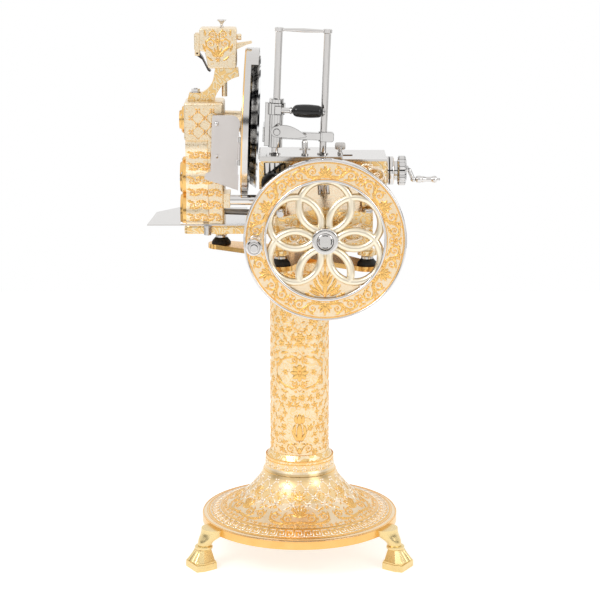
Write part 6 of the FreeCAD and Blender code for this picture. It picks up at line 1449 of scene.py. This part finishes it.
@dataclass
class Carriage:
    """Carriage with its table, feed screw and thickness knob."""

    collar_length: float = 19.2

    def build(self) -> None:
        """Build and dress the carriage."""
        low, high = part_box("carriage_body")
        plate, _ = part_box("carriage_top_plate")
        height = (plate.z - low.z) / MM
        front = CastFace("carriage_body", Vector(((low.x + high.x) / 2, low.y, low.z)))
        side = FlatFace(Vector((low.x, low.y, low.z)), RIGHT, UP)
        # A black panel stands for the shaded inside of the carriage's open front: painted shade
        shaded_opening = [(12.0, 34.0), (74.0, 34.0), (74.0, height - 4), (12.0, height - 4)]
        settle(slab("carriage_front_opening_painted_shade", shaded_opening, side, Finish.BLACK, 1.0, 0.3), "carriage", "black_plastic")
        for place in range(5):
            start = 15.0 + 12.4 * place
            tooth = [(start + across, height - down) for across, down in (
                (1.6, 46), (4.4, 50), (6.4, 44), (8.6, 20), (9.6, 3.5), (0, 3.5), (1.0, 24))]
            settle(slab(f"carriage_tooth_{place + 1}", tooth, side, Finish.CHROME, 1.0, 1.6), "carriage", "chrome")
        wheel = middle("feed_handwheel")
        collar = Vector((high.x - self.collar_length * MM, wheel.y, wheel.z))
        sleeve = [(33.4, 0.1), (34.8, 0.1), (35.4, 1), (35.4, 6), (34.4, 7), (34.4, 9), (35.4, 10), (35.4, 17),
                  (34.6, 18.4), (33.4, 18.4)]
        settle(turned_piece("feed_collar_sleeve", sleeve, collar, RIGHT, Finish.CHROME), "carriage", "chrome")
        # A black ring in the sleeve's groove is painted shade
        groove = [(33.4, 6.8), (34.9, 6.8), (34.9, 9.2), (33.4, 9.2)]
        ring = turned_piece("feed_collar_groove_painted_shade", groove, collar, RIGHT, Finish.BLACK)
        settle(ring, "carriage", "black_plastic")
        spot = middle("thickness_knob")
        knob = FlatFace(Vector((spot.x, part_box("thickness_knob")[0].y, spot.z)), RIGHT, UP)
        strip = [(-17.0, -2.0), (-15.0, -3.4), (15.0, 1.0), (17.0, 2.4), (17.0, 5.0), (15.0, 5.8),
                 (-15.0, 1.2), (-17.0, 0.4)]
        settle(slab("thickness_knob_strip", strip, knob, Finish.CHROME, 0.8, 0.8), "thickness_knob", "chrome")
        frieze = Drawing().rinceau(200, 62, 6.5)
        band = Drawing().add(frieze, (42, height - 32))
        gild(lay("carriage_frieze", band, front, Finish.PALE, 1.3), "carriage")
        dress(Finish.GOLDEN, "carriage_body")
        dress(Finish.STEEL, "carriage_top_plate", "table_plate")
        dress(Finish.BRONZE, "carriage_bearings", "feed_nut")
        dress(Finish.CHROME, "drive_pin", "feed_screw", "feed_grip")
        # Chromium with a painted dark reflection along its edges
        dress(Finish.FILED_PAINTED_EDGES, "feed_handwheel")
        dress(Finish.BLACK, "thickness_knob")


@dataclass
class Holder:
    """Posts with the sliding clamp."""

    def build(self) -> None:
        """Dress the meat holder."""
        dress(Finish.CHROME, "holder_posts")
        # Chromium with a painted dark reflection along its edges
        dress(Finish.FILED_PAINTED_EDGES, "clamp_bar", "clamp_jaw", "clamp_lever")
        dress(Finish.BLACK, "clamp_grip")


@dataclass
class Tray:
    """Receiving tray and guide bar."""

    def build(self) -> None:
        """Dress the tray."""
        dress(Finish.STEEL, "receiving_tray")
        dress(Finish.CHROME, "guide_bar")


# ---------------------------------------------------------------- studio

@dataclass
class Studio:
    """Camera, floor, world light and lamps.

    A gap is dark in mirrors only. It has its centre and its half width, as parts of the direction's
    length, and its brightness.
    """

    lens: float = 119.6
    eye: tuple[float, float, float] = (0.021, -4.98, 1.78)
    pitch: float = 12.5
    shift: float = 0.0007
    floor_half: float = 3.2
    floor_glow: float = 0.55
    sky_level: float = 0.62
    level_gap: tuple[float, float, float] = (0.15, 0.09, 0.04)
    corner_gap: tuple[float, float, float] = (0.925, 0.034, 0.02)
    wall_gap: tuple[float, float, float] = (0.42, 0.03, 0.35)

    def build_camera(self) -> None:
        """Set the camera in front of the machine."""
        data = bpy.data.cameras.new("camera")
        data.lens = self.lens
        data.sensor_width = 36.0
        data.shift_x = self.shift
        camera = bpy.data.objects.new("camera", data)
        camera.location = self.eye
        camera.rotation_euler = (math.radians(90 - self.pitch), 0, 0)
        bpy.context.scene.collection.objects.link(camera)
        bpy.context.scene.camera = camera

    def build_floor(self) -> None:
        """Lay a pale floor that keeps the machine's shadow."""
        maker = bmesh.new()
        corner_signs = ((-1, -1), (1, -1), (1, 1), (-1, 1))
        maker.faces.new([maker.verts.new((x * self.floor_half, y * self.floor_half, 0)) for x, y in corner_signs])
        material, tree = new_material("white studio paper")
        paper = add_node(tree, "ShaderNodeBsdfDiffuse", {"Color": (0.8, 0.8, 0.8, 1)})
        glow = add_node(tree, "ShaderNodeEmission", {"Color": (1, 1, 1, 1), "Strength": self.floor_glow})
        path = add_node(tree, "ShaderNodeLightPath").outputs
        seen = sums(tree, "MAXIMUM", path["Is Camera Ray"], path["Is Glossy Ray"])
        both = add_node(tree, "ShaderNodeAddShader", {0: paper, 1: glow})
        mixed = add_node(tree, "ShaderNodeMixShader", {0: seen, 1: paper, 2: both})
        add_node(tree, "ShaderNodeOutputMaterial", {"Surface": mixed})
        link_piece("floor", maker, material)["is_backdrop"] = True

    @staticmethod
    def gap(tree: Tree, source: Any, centre: float, half: float, level: float) -> Any:
        """A dark gap between light panels, where a direction is near a value."""
        distance = sums(tree, "ABSOLUTE", sums(tree, "SUBTRACT", source, centre), None)
        return ramp(tree, distance, half * 0.8, half * 1.2, level, 1.0)

    def build_world(self) -> None:
        """White backdrop, with a softer sky that lights the machine and shows in its bright parts."""
        world = bpy.data.worlds.new("studio")
        bpy.context.scene.world = world
        world.use_nodes = True
        tree = world.node_tree
        tree.nodes.clear()
        path = add_node(tree, "ShaderNodeLightPath").outputs
        place = add_node(tree, "ShaderNodeTexCoord").outputs["Generated"]
        split = add_node(tree, "ShaderNodeSeparateXYZ", {0: place}).outputs
        side = sums(tree, "ABSOLUTE", split["X"], None)
        # Fine slats behind the machine, above the floor
        behind = sums(tree, "SUBTRACT", 1.0, ramp(tree, split["Y"], 0.86, 0.9))
        slats = ramp(tree, sums(tree, "PINGPONG", split["Z"], 0.016), 0.005, 0.008, 0.03)
        shut = sums(tree, "MAXIMUM", behind, ramp(tree, split["Z"], -0.1, -0.09))
        striped = sums(tree, "MAXIMUM", shut, slats)
        # A level gap on the operator's side, and upright gaps at the corners and in the walls
        front = ramp(tree, split["Y"], -0.1, 0.3)
        level_gap = sums(tree, "MAXIMUM", self.gap(tree, split["Z"], *self.level_gap), front)
        above = ramp(tree, split["Z"], -0.12, -0.02)
        upright = sums(tree, "MAXIMUM", self.gap(tree, side, *self.corner_gap), above)
        mirror = sums(tree, "MULTIPLY", upright, self.gap(tree, side, *self.wall_gap))
        for share in (level_gap, striped, path["Is Glossy Ray"]):
            mirror = sums(tree, "MULTIPLY", mirror, share)
        plain = sums(tree, "SUBTRACT", 1.0, path["Is Glossy Ray"])
        level = sums(tree, "ADD", mirror, sums(tree, "MULTIPLY", plain, self.sky_level))
        sky = add_node(tree, "ShaderNodeBackground", {"Color": (1, 1, 1, 1), "Strength": level})
        white = add_node(tree, "ShaderNodeBackground", {"Color": (1, 1, 1, 1), "Strength": 1.0})
        mixed = add_node(tree, "ShaderNodeMixShader", {0: path["Is Camera Ray"], 1: sky, 2: white})
        add_node(tree, "ShaderNodeOutputWorld", {"Surface": mixed})

    def add_lamp(self, name: str, place: tuple[float, float, float], size: float, power: float) -> None:
        """Add one soft lamp aimed at the machine."""
        data = bpy.data.lights.new(name, "AREA")
        data.shape = "SQUARE"
        data.size = size
        data.energy = power
        lamp = bpy.data.objects.new(name, data)
        lamp.location = place
        aim = Vector((0, 0, 0.8)) - Vector(place)
        lamp.rotation_euler = aim.to_track_quat("-Z", "Y").to_euler()
        bpy.context.scene.collection.objects.link(lamp)

    def build(self) -> None:
        """Set up the studio."""
        self.build_camera()
        self.build_floor()
        self.build_world()
        self.add_lamp("key lamp", (-2.2, -2.6, 3.2), 1.6, 46)
        self.add_lamp("fill lamp", (2.8, -2.4, 2.2), 1.8, 24)
        bpy.context.scene.view_settings.view_transform = "Standard"


def corners(bounds: tuple) -> list[list[float]]:
    """A box's corners as plain lists."""
    return [[float(value) for value in corner] for corner in bounds]


def main() -> None:
    """Build the machine's looks in order."""
    solids = corners(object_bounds())
    Studio().build()
    for kind in (Pedestal, MachineBase, Flywheel, Tower, Knife, Sharpener, Carriage, Holder, Tray):
        log.info("building %s", kind.__name__)
        kind().build()
    {"solids": solids, "looks": corners(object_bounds())}


if __name__ == "__main__":
    logging.basicConfig(level=logging.INFO)
    main()
